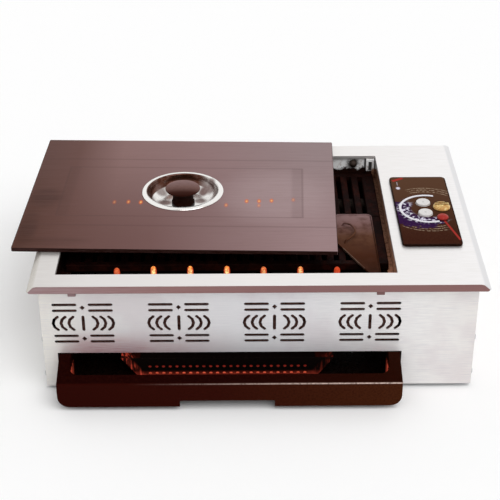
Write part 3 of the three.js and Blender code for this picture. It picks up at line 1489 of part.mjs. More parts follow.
// Wedges that trim the frame's pulled out end to the rounded lower corners of its face.
function drawerCornerCuts() {
  const r = DRAWER_FACE_CORNER;
  const z0 = baseZ + DRAWER_FLOOR_GAP;
  const y1 = closedFaceY;
  return [-1, 1].map((side) => {
    const x = side > 0 ? drawer.x1 : drawer.x0;
    const wedge = block(
      Math.min(x - side * r, x + side * CUT_OVERRUN),
      Math.max(x - side * r, x + side * CUT_OVERRUN),
      faceY - CUT_OVERRUN,
      y1,
      z0 - CUT_OVERRUN,
      z0 + r,
    );
    return cut(
      wedge,
      rodY(r, x - side * r, faceY - 2 * CUT_OVERRUN, y1 + CUT_OVERRUN, z0 + r, ROUND_SIDES),
    );
  });
}

function waterPan() {
  const outer = grown(cavity, -SEAT_GAP);
  const shell = prismZ(rounded(outer, DRAWER_RIM_CORNER), panZ, panZ + PAN_HEIGHT);
  const bowl = prismZ(
    rounded(grown(outer, -PAN_SHEET), DRAWER_RIM_CORNER - PAN_SHEET),
    panZ + PAN_SHEET,
    panZ + PAN_HEIGHT + CUT_OVERRUN,
  );
  return piece("water_pan", cut(shell, bowl), enamel);
}

// The perforated tray's floor in plan.
const trayDepth = cavity.y1 - cavity.y0 - TRAY_FRONT_GAP - TRAY_REAR_GAP;
const trayFloor = span(
  pit.cx - TRAY_FLOOR_WIDTH / 2,
  TRAY_FLOOR_WIDTH,
  cavity.y0 + TRAY_FRONT_GAP,
  trayDepth,
);

// A tapered block with a smaller floor than its top, for the perforated tray.
function taperedBlock(inset, z0, z1, overrun) {
  const floor = grown(trayFloor, -inset);
  const top = z1 + overrun;
  const rise = (top - z0) / TRAY_HEIGHT;
  const geometry = new THREE.BoxGeometry(floor.x1 - floor.x0, floor.y1 - floor.y0, top - z0);
  geometry.translate(floor.cx, floor.cy, (z0 + top) / 2);
  const at = geometry.attributes.position;
  for (let i = 0; i < at.count; i += 1) {
    if (at.getZ(i) > (z0 + top) / 2) {
      at.setX(i, at.getX(i) + Math.sign(at.getX(i) - floor.cx) * TRAY_END_SPLAY * rise);
      at.setY(i, at.getY(i) + Math.sign(at.getY(i) - floor.cy) * TRAY_FRONT_SPLAY * rise);
    }
  }
  return solidOf(geometry);
}

// The perforated tray that stands in the water pan, with rows of holes through its front.
function perforatedTray() {
  const z1 = trayZ + TRAY_HEIGHT;
  const inside = taperedBlock(TRAY_SHEET, trayZ + TRAY_SHEET, z1, CUT_OVERRUN);
  const shell = cut(taperedBlock(0, trayZ, z1, 0), inside);
  const count = Math.floor((TRAY_FLOOR_WIDTH - 2 * TRAY_HOLE_PITCH) / TRAY_HOLE_PITCH);
  const y0 = trayFloor.y0 - TRAY_FRONT_SPLAY - CUT_OVERRUN;
  const y1 = trayFloor.y0 + TRAY_FRONT_SPLAY + CUT_OVERRUN;
  const holes = [];
  for (let row = 0; row < TRAY_HOLE_ROWS; row += 1) {
    const z = trayZ + TRAY_FIRST_ROW + row * TRAY_ROW_PITCH;
    for (let i = 0; i < count; i += 1) {
      const x = pit.cx + (i - (count - 1) / 2) * TRAY_HOLE_PITCH;
      holes.push(rodY(TRAY_HOLE_RADIUS, x, y0, y1, z, HEX_SIDES));
    }
  }
  return piece("perforated_tray", cut(shell, ...holes), burnerSteel);
}

// An angle runner on the base plate: the drawer's skirt slides on its foot, beside its upright.
function runner(name, side) {
  const edge = side > 0 ? drawer.x1 + RUNNING_GAP : drawer.x0 - RUNNING_GAP;
  const upright = [edge, edge + side * RUNNER_SHEET];
  const sole = [edge + side * RUNNER_SHEET, edge - side * RUNNER_FOOT];
  const z0 = floorZ + SEAT_GAP;
  const y0 = -innerY + RUNNER_SHEET;
  const y1 = drawer.y1 + DRAWER_OUT;
  const leg = block(Math.min(...upright), Math.max(...upright), y0, y1, z0, z0 + RUNNER_HEIGHT);
  const foot = block(Math.min(...sole), Math.max(...sole), y0, y1, z0, runnerZ);
  return piece(name, join(leg, foot), galvanised);
}

const grill = new THREE.Group();
grill.name = "gas_yakiniku_grill";
grill.add(
  topPlate(),
  frontTrim(),
  frontPanel(),
  rearPanel(),
  sidePanel("left_panel", -1),
  sidePanel("right_panel", 1),
  basePlate(),
  ...footSpots.map(foot),
  clip("front_clip_left", clipSpots[0]),
  clip("front_clip_right", clipSpots[1]),
  ...screws(),
);
grill.add(
  firebox(),
  grate("grate_rear", rearGrate),
  grate("grate_front", frontGrate),
  restingPlate(),
  burner("burner_front", burnerRows.front),
  burner("burner_rear", burnerRows.rear),
  mixer("mixing_tube_front", burnerRows.front),
  mixer("mixing_tube_rear", burnerRows.rear),
  injector("injector_front", burnerRows.front),
  injector("injector_rear", burnerRows.rear),
  gasRail(),
  gasValve(),
  inletPipe(),
  hoseNipple(),
  inletNut(),
  flameSensor(),
  electrode(),
  heatShield(),
  igniter(),
  batteryBox(),
);
grill.add(
  controlPanel(),
  dialBand(),
  button("ignite_button", buttonRows.ignite),
  button("stop_button", buttonRows.stop),
  circuitBoard(),
  flameKnob(),
  spindle(),
  pilotLamp(),
);
grill.add(lidGroup());
grill.add(
  drawerFrame(),
  waterPan(),
  perforatedTray(),
  runner("runner_left", -1),
  runner("runner_right", 1),
);

export default grill;
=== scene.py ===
"""A gas yakiniku grill for table use, dressed for a plain studio picture.

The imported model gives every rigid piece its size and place. Here each sheet, casting and casing gets
rounded edges and its finish, and the turned parts, the flames and the embers are modelled anew.
"""

from __future__ import annotations

import json
import logging
import math
from dataclasses import dataclass
from enum import Enum
from functools import reduce
from typing import Iterable, Sequence

import bmesh
import bpy
from mathutils import Matrix, Vector, noise


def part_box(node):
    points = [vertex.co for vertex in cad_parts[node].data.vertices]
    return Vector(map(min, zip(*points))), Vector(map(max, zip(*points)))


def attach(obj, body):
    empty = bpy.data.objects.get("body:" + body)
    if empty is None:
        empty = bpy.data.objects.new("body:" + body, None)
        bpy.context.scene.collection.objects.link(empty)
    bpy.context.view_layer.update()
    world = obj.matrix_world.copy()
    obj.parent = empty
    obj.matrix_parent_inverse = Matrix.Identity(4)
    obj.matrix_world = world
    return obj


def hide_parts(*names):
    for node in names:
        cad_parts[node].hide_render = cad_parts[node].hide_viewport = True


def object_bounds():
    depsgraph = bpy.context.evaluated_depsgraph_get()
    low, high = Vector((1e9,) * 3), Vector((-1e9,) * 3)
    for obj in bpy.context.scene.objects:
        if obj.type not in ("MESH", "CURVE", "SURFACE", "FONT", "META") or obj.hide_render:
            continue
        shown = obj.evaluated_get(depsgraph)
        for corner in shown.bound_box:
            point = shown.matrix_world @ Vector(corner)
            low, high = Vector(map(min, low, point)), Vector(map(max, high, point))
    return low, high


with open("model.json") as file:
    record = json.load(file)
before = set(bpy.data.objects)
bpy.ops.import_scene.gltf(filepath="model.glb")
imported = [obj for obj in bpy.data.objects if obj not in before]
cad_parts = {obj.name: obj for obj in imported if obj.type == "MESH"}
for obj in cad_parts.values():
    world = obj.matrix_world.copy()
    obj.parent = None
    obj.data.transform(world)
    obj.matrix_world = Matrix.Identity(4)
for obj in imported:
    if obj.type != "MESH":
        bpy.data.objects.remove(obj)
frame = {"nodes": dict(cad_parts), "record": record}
cad_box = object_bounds()

MM = 0.001
# Corners of the CAD solids nearer than this are one corner, and faces flatter to each other are one face.
MERGE = 0.005 * MM
FLAT = math.radians(0.5)

log = logging.getLogger("grill")

Socket = bpy.types.NodeSocket
Tree = bpy.types.NodeTree
Setting = float | int | str | bool | tuple
Stops = Sequence[tuple[float, str]]
Point = tuple[float, float]


def linear(colour: str) -> tuple[float, float, float, float]:
    """Turns an sRGB hex colour to Blender's linear RGBA.

    Args:
        colour: Six hex digits with a leading hash.

    Returns:
        The linear red, green and blue with an alpha of one.
    """
    parts = [int(colour[i : i + 2], 16) / 255 for i in (1, 3, 5)]
    red, green, blue = (c / 12.92 if c <= 0.04045 else ((c + 0.055) / 1.055) ** 2.4 for c in parts)
    return red, green, blue, 1.0


def add_node(
    tree: Tree,
    kind: str,
    settings: dict[str | int, Setting] | None = None,
    links: dict[str | int, Socket] | None = None,
) -> bpy.types.Node:
    """Adds one shader node.

    Args:
        tree: The node tree that gets the node.
        kind: The node's Blender type name.
        settings: Properties by name, and values of unlinked inputs by name or index.
        links: The sockets that feed the node's inputs, by input name or index.

    Returns:
        The new node.
    """
    node = tree.nodes.new(kind)
    for key, value in (settings or {}).items():
        if isinstance(key, str) and key.islower() and hasattr(node, key):
            setattr(node, key, value)
        else:
            node.inputs[key].default_value = value
    for key, socket in (links or {}).items():
        tree.links.new(socket, node.inputs[key])
    return node


class Lay(Enum):
    """Which way a surface's marks run, as how far each axis stretches them."""

    EVEN = (1.0, 1.0, 1.0)
    ALONG_X = (60.0, 1.0, 1.0)
    ALONG_Z = (1.0, 1.0, 60.0)


class Axis(Enum):
    """The direction that a colour drifts in."""

    ACROSS = 0
    DEEP = 1


class Work(Enum):
    """What a node does: its Blender type, the inputs it is fed through, its output and its settings.

    A blend takes how far the second colour shows, and both colours. A fade takes a value, the ends of
    the range that it runs through, and the results at both ends.
    """

    BLEND = ("ShaderNodeMix", (0, 6, 7), 2, {"data_type": "RGBA"})
    FADE = ("ShaderNodeMapRange", (0, 1, 2, 3, 4), 0, {"interpolation_type": "SMOOTHSTEP"})
    PRODUCT = ("ShaderNodeMath", (0, 1), 0, {"operation": "MULTIPLY"})
    SUM = ("ShaderNodeMath", (0, 1), 0, {"operation": "ADD"})
    DIFFERENCE = ("ShaderNodeMath", (0, 1), 0, {"operation": "SUBTRACT"})
    RATIO = ("ShaderNodeMath", (0, 1), 0, {"operation": "DIVIDE"})
    LARGER = ("ShaderNodeMath", (0, 1), 0, {"operation": "MAXIMUM"})
    ABSOLUTE = ("ShaderNodeMath", (0, 1), 0, {"operation": "ABSOLUTE"})
    ROOT = ("ShaderNodeMath", (0, 1), 0, {"operation": "SQRT"})
    COSINE = ("ShaderNodeMath", (0, 1), 0, {"operation": "COSINE"})
    BEARING = ("ShaderNodeMath", (0, 1), 0, {"operation": "ARCTAN2"})
    TO_AND_FRO = ("ShaderNodeMath", (0, 1), 0, {"operation": "PINGPONG"})


@dataclass(frozen=True)
class Place:
    """A place on the object that is being shaded, and what can be worked out about it with nodes.

    Its own coordinates, and places given as a point, are in metres. Reaches and widths are in millimetres.
    """

    tree: Tree
    where: Socket

    @property
    def coordinates(self) -> tuple[Socket, Socket, Socket]:
        """How far across, deep and high the place is."""
        return tuple(add_node(self.tree, "ShaderNodeSeparateXYZ", links={0: self.where}).outputs)

    def add(self, work: Work, *values: str | float | Socket) -> Socket:
        """Adds the node that does a piece of work.

        Args:
            work: What the node does.
            values: What its inputs get in turn: a hex colour, a number or a socket.

        Returns:
            The result's socket.
        """
        kind, inputs, output, settings = work.value
        settings, links = dict(settings), {}
        for key, value in zip(inputs, values):
            if isinstance(value, Socket):
                links[key] = value
            else:
                settings[key] = linear(value) if isinstance(value, str) else value
        return add_node(self.tree, kind, settings, links).outputs[output]

    def row(self, work: Work, *values: float | Socket) -> Socket:
        """Does work that takes two values along a row of them.

        Args:
            work: What is done with the result so far and the next value.
            values: The row, with a socket first.

        Returns:
            The last result's socket.
        """
        return reduce(lambda result, value: self.add(work, result, value), values)

    def graded(self, value: Socket, stops: Stops) -> Socket:
        """Runs a value along a row of colours.

        Args:
            value: What places a point in the row.
            stops: The value and the hex colour of each stop, in rising order.

        Returns:
            The colour's socket.
        """
        low, high = stops[0][0], stops[-1][0]
        share = add_node(self.tree, "ShaderNodeMapRange", {1: low, 2: high}, {0: value}).outputs[0]
        ramp = add_node(self.tree, "ShaderNodeValToRGB", links={0: share})
        elements = ramp.color_ramp.elements
        elements[0].color = linear(stops[0][1])
        elements[1].color = linear(stops[-1][1])
        for place, colour in stops[1:-1]:
            elements.new((place - low) / (high - low)).color = linear(colour)
        return ramp.outputs[0]

    def speckle(self, size: float, lay: Lay = Lay.EVEN) -> Socket:
        """Finds the noise at the place, from zero to one.

        Args:
            size: How wide one of its marks is, in millimetres.
            lay: Which way its marks run.

        Returns:
            The noise's socket.
        """
        stretch = [1 / (size * MM * along) for along in lay.value]
        spread = {"Scale": tuple(stretch)}
        placed = add_node(self.tree, "ShaderNodeMapping", spread, {"Vector": self.where}).outputs[0]
        settings = {"Scale": 1.0, "Detail": 4.0, "Roughness": 0.6}
        return add_node(self.tree, "ShaderNodeTexNoise", settings, {"Vector": placed}).outputs[0]

    def near(self, value: Socket, target: float, reach: float, soft: float) -> Socket:
        """Tells how close a value is to a target.

        Args:
            value: The value to test, in metres.
            target: The value wanted, in metres.
            reach: How far off still counts in full, in millimetres.
            soft: How much further it fades to nothing, in millimetres.

        Returns:
            One at the target, falling to zero.
        """
        off = self.add(Work.ABSOLUTE, self.add(Work.DIFFERENCE, value, target))
        return self.add(Work.FADE, off, reach * MM, (reach + soft) * MM, 1.0, 0.0)

    def on_stroke(self, start: Point, end: Point, width: float) -> Socket:
        """Tells whether the place, seen from above, lies on a straight printed stroke.

        Args:
            start: Where the stroke starts, in metres.
            end: Where it ends, in metres.
            width: How wide it is, in millimetres.

        Returns:
            One on the stroke and zero off it.
        """
        soft = 0.4
        run = Vector(end) - Vector(start)
        step_x, step_y = run.normalized()
        away_x, away_y = (self.add(Work.DIFFERENCE, *pair) for pair in zip(self.coordinates, start))
        along_x, aside_x = (self.add(Work.PRODUCT, away_x, step) for step in (step_x, step_y))
        along_y, aside_y = (self.add(Work.PRODUCT, away_y, step) for step in (step_y, step_x))
        along = self.add(Work.SUM, along_x, along_y)
        aside = self.add(Work.DIFFERENCE, aside_x, aside_y)
        inside = self.near(along, run.length / 2, run.length / 2 / MM, soft)
        return self.add(Work.PRODUCT, self.near(aside, 0.0, (width - soft) / 2, soft), inside)

    def on_spot(self, place: tuple[Socket, Socket], centre: Point, radii: Point) -> Socket:
        """Tells how far inside a soft oval spot a place lies.

        Args:
            place: The place's two coordinates, in metres.
            centre: The spot's middle, in metres.
            radii: The spot's half width and half depth, in millimetres.

        Returns:
            One in the middle, falling to zero at the rim.
        """
        squares = []
        for value, target, radius in zip(place, centre, radii):
            share = self.add(Work.RATIO, self.add(Work.DIFFERENCE, value, target), radius * MM)
            squares.append(self.add(Work.PRODUCT, share, share))
        far = self.add(Work.ROOT, self.row(Work.SUM, *squares))
        return self.add(Work.FADE, far, 0.35, 1.0, 1.0, 0.0)

    def polar(self, centre: Point) -> tuple[Socket, Socket, Socket, Socket]:
        """Finds where the place lies from a centre, seen from above.

        Args:
            centre: The centre, in metres.

        Returns:
            How far right, back and out it lies, in metres, and its bearing in radians.
        """
        right, back = (self.add(Work.DIFFERENCE, *pair) for pair in zip(self.coordinates, centre))
        squares = [self.add(Work.PRODUCT, value, value) for value in (right, back)]
        out = self.add(Work.ROOT, self.row(Work.SUM, *squares))
        return right, back, out, self.add(Work.BEARING, back, right)

    def facing(self, bearing: Socket, degrees: float) -> Socket:
        """One where a bearing points to these degrees, minus one where it points away from them."""
        return self.add(Work.COSINE, self.add(Work.DIFFERENCE, bearing, math.radians(degrees)))


@dataclass(frozen=True)
class Surface:
    """What a piece shows: a named material, whose shader each kind of surface builds in its own way."""

    name: str

    def material(self) -> bpy.types.Material:
        """Builds the material once.

        Returns:
            The material, the same one each time.
        """
        made = bpy.data.materials.get(self.name)
        if made:
            return made
        made = bpy.data.materials.new(self.name)
        made.use_nodes = True
        tree = made.node_tree
        tree.nodes.clear()
        where = add_node(tree, "ShaderNodeTexCoord").outputs["Object"]
        shader = self.shade(Place(tree, where))
        add_node(tree, "ShaderNodeOutputMaterial", links={"Surface": shader})
        return made

    def shade(self, at: Place) -> Socket:
        """The whole surface shader at a place."""
        raise NotImplementedError


@dataclass(frozen=True)
class Finish(Surface):
    """A surface with two close tones in a fine grain, which also moves its gloss and relief.

    Sizes of grain, relief and stains are in millimetres. The shares say how strongly the tone and the
    stain can cover the ground. The glow is the colour in which it shines: where it is hot, and on the
    water pan as a painted glow.
    """

    colour: str
    tone: str
    roughness: float
    metallic: float = 0.0
    grain: float = 1.0
    lay: Lay = Lay.EVEN
    relief: float = 0.02
    gloss_drift: float = 0.06
    specular: float = 0.5
    tone_share: float = 0.8
    stain: str = ""
    stain_size: float = 40.0
    stain_share: float = 0.5
    glow: str = "#ffffff"

    def ground(self, at: Place) -> str | Socket:
        """The colour below the grain and the stains."""
        return self.colour

    def colours(self, at: Place, marks: Socket) -> Socket:
        """The base colour.

        Args:
            at: The place being shaded.
            marks: The grain there, from zero to one.

        Returns:
            The ground with the grain's tone over it, and the stains over both.
        """
        grained = at.add(Work.FADE, marks, 0.4, 0.75, 0.0, self.tone_share)
        toned = at.add(Work.BLEND, grained, self.ground(at), self.tone)
        if not self.stain:
            return toned
        blotches = at.speckle(self.stain_size)
        patches = at.add(Work.FADE, blotches, 0.45, 0.66, 0.0, self.stain_share)
        return at.add(Work.BLEND, patches, toned, self.stain)

    def glow_strength(self, at: Place) -> Socket | None:
        """How brightly a place shines by itself, or None where the whole surface is cold."""
        return None

    def shade(self, at: Place) -> Socket:
        """The whole surface shader.

        Args:
            at: The place being shaded.

        Returns:
            The shader's socket.
        """
        marks = at.speckle(self.grain, self.lay)
        low, high = self.roughness - self.gloss_drift, self.roughness + self.gloss_drift
        settings = {"Metallic": self.metallic, "Specular IOR Level": self.specular}
        links = {
            "Base Color": self.colours(at, marks),
            "Roughness": at.add(Work.FADE, marks, 0.25, 0.75, low, high),
        }
        if self.relief:
            bump = {"Strength": 0.5, "Distance": self.relief * MM}
            links["Normal"] = add_node(at.tree, "ShaderNodeBump", bump, {"Height": marks}).outputs[0]
        shine = self.glow_strength(at)
        if shine:
            settings["Emission Color"] = linear(self.glow)
            links["Emission Strength"] = shine
        return add_node(at.tree, "ShaderNodeBsdfPrincipled", settings, links).outputs[0]


@dataclass(frozen=True)
class Drifting(Finish):
    """A surface whose colour drifts from one end of the piece to the other."""

    axis: Axis = Axis.ACROSS
    stops: Stops = ()

    def ground(self, at: Place) -> Socket:
        """The colour of the stop that the place has come to; stops count in metres along the axis."""
        along = at.coordinates[self.axis.value]
        return at.graded(along, self.stops)


@dataclass(frozen=True)
class PaintedReflectionPanel(Drifting):
    """Sheet steel with a painted mauve reflection of the drawer along its lower middle. Places are in
    metres.
    """

    # The colour of the painted reflection of the drawer.
    drawer_reflection: str = "#a3535f"
    share: float = 0.72
    rise: Point = (0.05, 0.086)
    span: Point = (-0.25, 0.16)
    face: float = -0.16

    def ground(self, at: Place) -> Socket:
        """The drifting steel with the painted reflection of the drawer over its front.

        Args:
            at: The place being shaded.

        Returns:
            The colour's socket.
        """
        steel = super().ground(at)
        across, deep, height = at.coordinates
        left, right = self.span
        # Painted reflection of the drawer: mauve, low on the front face, strongest to the left.
        low = at.add(Work.FADE, height, *self.rise, self.share, 0.0)
        ragged = at.add(Work.FADE, at.speckle(40.0), 0.3, 0.65, 0.75, 1.0)
        leftward = at.add(Work.FADE, across, left + 80 * MM, left + 260 * MM, 1.0, 0.0)
        inside = at.near(across, (left + right) / 2, (right - left) / 2 / MM - 40, 44.0)
        ahead = at.add(Work.FADE, deep, self.face - 10 * MM, self.face, 1.0, 0.0)
        reflected = at.row(Work.PRODUCT, low, ragged, leftward, inside, ahead)
        return at.add(Work.BLEND, reflected, steel, self.drawer_reflection)


@dataclass(frozen=True)
class PitLiner(Finish):
    """Fire pit sheet: sooted brown, bright at the top of the rear wall, with a painted highlight
    on the ledge on the right.

    Places are in metres, and waver is how far the soot's upper edge wanders, in millimetres.
    """

    bright: str = "#ffffff"
    dulled: str = "#c8bab3"
    # The colour of the painted highlight on the ledge.
    edge_highlight: str = "#f2b28f"
    outside: str = "#825c54"
    rear: float = 0.0
    front: float = 0.0
    level: float = 0.0
    waver: float = 27.0
    ledge: Point = (0.0, 0.0)
    sensor: Point = (0.0, 0.0)
    rest: float = 0.0
    back: float = 0.0

    def ground(self, at: Place) -> Socket:
        """Soot with the ledge's painted highlight strip and the mauve brown outer front over it.

        Args:
            at: The place being shaded.

        Returns:
            The colour's socket.
        """
        across, deep, _ = at.coordinates
        low, high = self.ledge
        # Painted highlight: a pale strip along the ledge on the right, fading towards the rear.
        strip = at.near(across, (low + high) / 2, (high - low) / 2 / MM, 0.6)
        painted_highlight = at.add(Work.PRODUCT, strip, at.add(Work.FADE, deep, -150 * MM, 80 * MM, 1.0, 0.35))
        sooted = at.add(Work.BLEND, painted_highlight, self.colour, self.edge_highlight)
        outer_front = at.add(Work.FADE, deep, self.front + 0.3 * MM, self.front + 0.8 * MM, 1.0, 0.0)
        return at.add(Work.BLEND, outer_front, sooted, self.outside)

    def colours(self, at: Place, marks: Socket) -> Socket:
        """The base colour.

        Args:
            at: The place being shaded.
            marks: The grain there, from zero to one.

        Returns:
            The grained soot, and above it on the rear wall the bright steel, dulled in patches.
        """
        _, deep, height = at.coordinates
        waver = at.add(Work.PRODUCT, at.speckle(11.0), self.waver * MM)
        edge = at.add(Work.DIFFERENCE, height, waver)
        clean = at.add(Work.FADE, edge, self.level - 15 * MM, self.level - 11 * MM, 0.0, 1.0)
        wall = at.add(Work.FADE, deep, self.rear - 3 * MM, self.rear - 1 * MM, 0.0, 1.0)
        patchy = at.add(Work.FADE, at.speckle(6.0), 0.5, 0.7, 0.0, 0.8)
        steel = at.add(Work.BLEND, patchy, self.bright, self.dulled)
        steel = at.add(Work.BLEND, self.dark_spots(at), steel, self.colour)
        sooted = super().colours(at, marks)
        return at.add(Work.BLEND, at.add(Work.PRODUCT, clean, wall), sooted, steel)

    def dark_spots(self, at: Place) -> Socket:
        """How dark the bright steel is: soot round the flame sensor, and painted shade behind and beside
        the lid rest.

        Args:
            at: The place being shaded.

        Returns:
            The share's socket.
        """
        across, deep, height = at.coordinates
        ragged = at.add(Work.FADE, at.speckle(5.0), 0.35, 0.55, 0.3, 1.0)
        soot = at.on_spot((across, height), self.sensor, (13.0, 12.0))
        ring = at.add(Work.PRODUCT, soot, ragged)
        # Painted shade: dark behind the lid rest's slot and in strips beside the rest.
        off = at.add(Work.ABSOLUTE, at.add(Work.DIFFERENCE, across, self.rest))
        slot = at.add(Work.FADE, off, 3.0 * MM, 3.6 * MM, 1.0, 0.0)
        beside = at.near(off, 6.6 * MM, 1.0, 0.6)
        shade = at.row(Work.LARGER, slot, beside, ring)
        wall = at.add(Work.FADE, deep, self.back - 3 * MM, self.back - 2 * MM, 0.0, 0.9)
        return at.add(Work.PRODUCT, shade, wall)


@dataclass(frozen=True)
class RestedPlate(Drifting):
    """Heat-browned sheet with a painted highlight along its slanted edge."""

    # Colour, width and share of the painted highlight along the slanted edge.
    edge_gleam: str = "#a58a78"
    edge_gleam_width: float = 2.4
    edge_gleam_share: float = 0.4
    slant: tuple[Point, Point] = ((0.0, 0.0), (0.0, 0.0))

    def ground(self, at: Place) -> Socket:
        """The browned sheet with the painted edge highlight over it.

        Args:
            at: The place being shaded.

        Returns:
            The colour's socket.
        """
        browned = super().ground(at)
        # Painted highlight along the slanted edge.
        edge_highlight = at.on_stroke(*self.slant, self.edge_gleam_width)
        share = at.add(Work.PRODUCT, edge_highlight, self.edge_gleam_share)
        return at.add(Work.BLEND, share, browned, self.edge_gleam)


@dataclass(frozen=True)
class DrawerEnamel(Drifting):
    """Brown vitreous enamel: painted shade darkens the slope above the face, a painted highlight lies
    between.
    """

    # Colours of the painted highlight line and of the painted shade on the slope.
    pale: str = "#cbb5ab"
    slope: str = "#120101"
    front: float = 0.0
    edge: float = 0.0

    def ground(self, at: Place) -> Socket:
        """Enamel with painted shade above the face's edge and the painted highlight line over it.

        Args:
            at: The place being shaded.

        Returns:
            The colour's socket.
        """
        enamel = super().ground(at)
        across, deep, height = at.coordinates
        # Painted highlight: a pale line along the face's top edge, stronger to the right.
        ahead = at.add(Work.FADE, deep, self.front + 1.0 * MM, self.front + 2.0 * MM, 1.0, 0.0)
        painted_highlight = at.add(Work.FADE, across, -160 * MM, 120 * MM, 0.0, 0.9)
        line = at.row(Work.PRODUCT, at.near(height, self.edge, 0.3, 0.4), ahead, painted_highlight)
        # Painted shade: the slope above the face is darker.
        above = at.add(Work.FADE, height, self.edge + 0.4 * MM, self.edge + 1.0 * MM, 0.0, 0.8)
        enamel = at.add(Work.BLEND, above, enamel, self.slope)
        return at.add(Work.BLEND, line, enamel, self.pale)


@dataclass(frozen=True)
class EmberLitEnamel(Finish):
    """Black enamel with a painted glow in ember red, in streaks up the pan's front corners."""

    corners: tuple[Point, Point] = ((0.0, 0.0), (0.0, 0.0))

    def glow_strength(self, at: Place) -> Socket:
        """The painted glow's streaks in the two corners.

        Args:
            at: The place being shaded.

        Returns:
            The strength's socket.
        """
        across, deep, _ = at.coordinates
        # Painted glow: ember light in red streaks up the front corners.
        first, second = (at.on_spot((across, deep), corner, (12.0, 26.0)) for corner in self.corners)
        streaks = at.add(Work.FADE, at.speckle(3.0, Lay.ALONG_Z), 0.42, 0.56, 0.0, 1.0)
        return at.add(Work.PRODUCT, at.add(Work.LARGER, first, second), streaks)


@dataclass(frozen=True)
class HotTray(Finish):
    """Scaled steel that glows a dull red in streaks where its slanted ends meet the embers.

    Places are in metres. The half floor, and the ends' splay over their rise, are in millimetres.
    """

    centre: float = 0.0
    front: float = 0.0
    foot: float = 0.0
    half_floor: float = 109.0
    splay: float = 20.0
    rise: float = 29.0

    def glow_strength(self, at: Place) -> Socket:
        """Glowing streaks beside the slanted ends, stronger on the left, and a line along the foot.

        Args:
            at: The place being shaded.

        Returns:
            The strength's socket.
        """
        across, deep, height = at.coordinates
        off = at.add(Work.DIFFERENCE, across, self.centre)
        ahead = at.add(Work.FADE, deep, self.front + 16 * MM, self.front + 34 * MM, 1.0, 0.0)
        rise = at.add(Work.DIFFERENCE, height, self.foot)
        lean = at.add(Work.PRODUCT, rise, self.splay / self.rise)
        reach = at.add(Work.DIFFERENCE, at.add(Work.ABSOLUTE, off), lean)
        band = at.add(Work.FADE, reach, (self.half_floor - 14) * MM, (self.half_floor - 4) * MM, 0.0, 1.0)
        streaks = at.add(Work.FADE, at.speckle(3.4, Lay.ALONG_Z), 0.48, 0.6, 0.02, 1.0)
        side = at.add(Work.FADE, off, -100 * MM, 100 * MM, 0.75, 0.13)
        ends = at.row(Work.PRODUCT, band, streaks, side)
        patchy = at.add(Work.FADE, at.speckle(8.0), 0.35, 0.65, 0.4, 1.0)
        low = at.add(Work.FADE, height, self.foot + 3 * MM, self.foot + 10 * MM, 0.34, 0.0)
        line = at.add(Work.PRODUCT, low, patchy)
        return at.add(Work.PRODUCT, at.add(Work.SUM, ends, line), ahead)


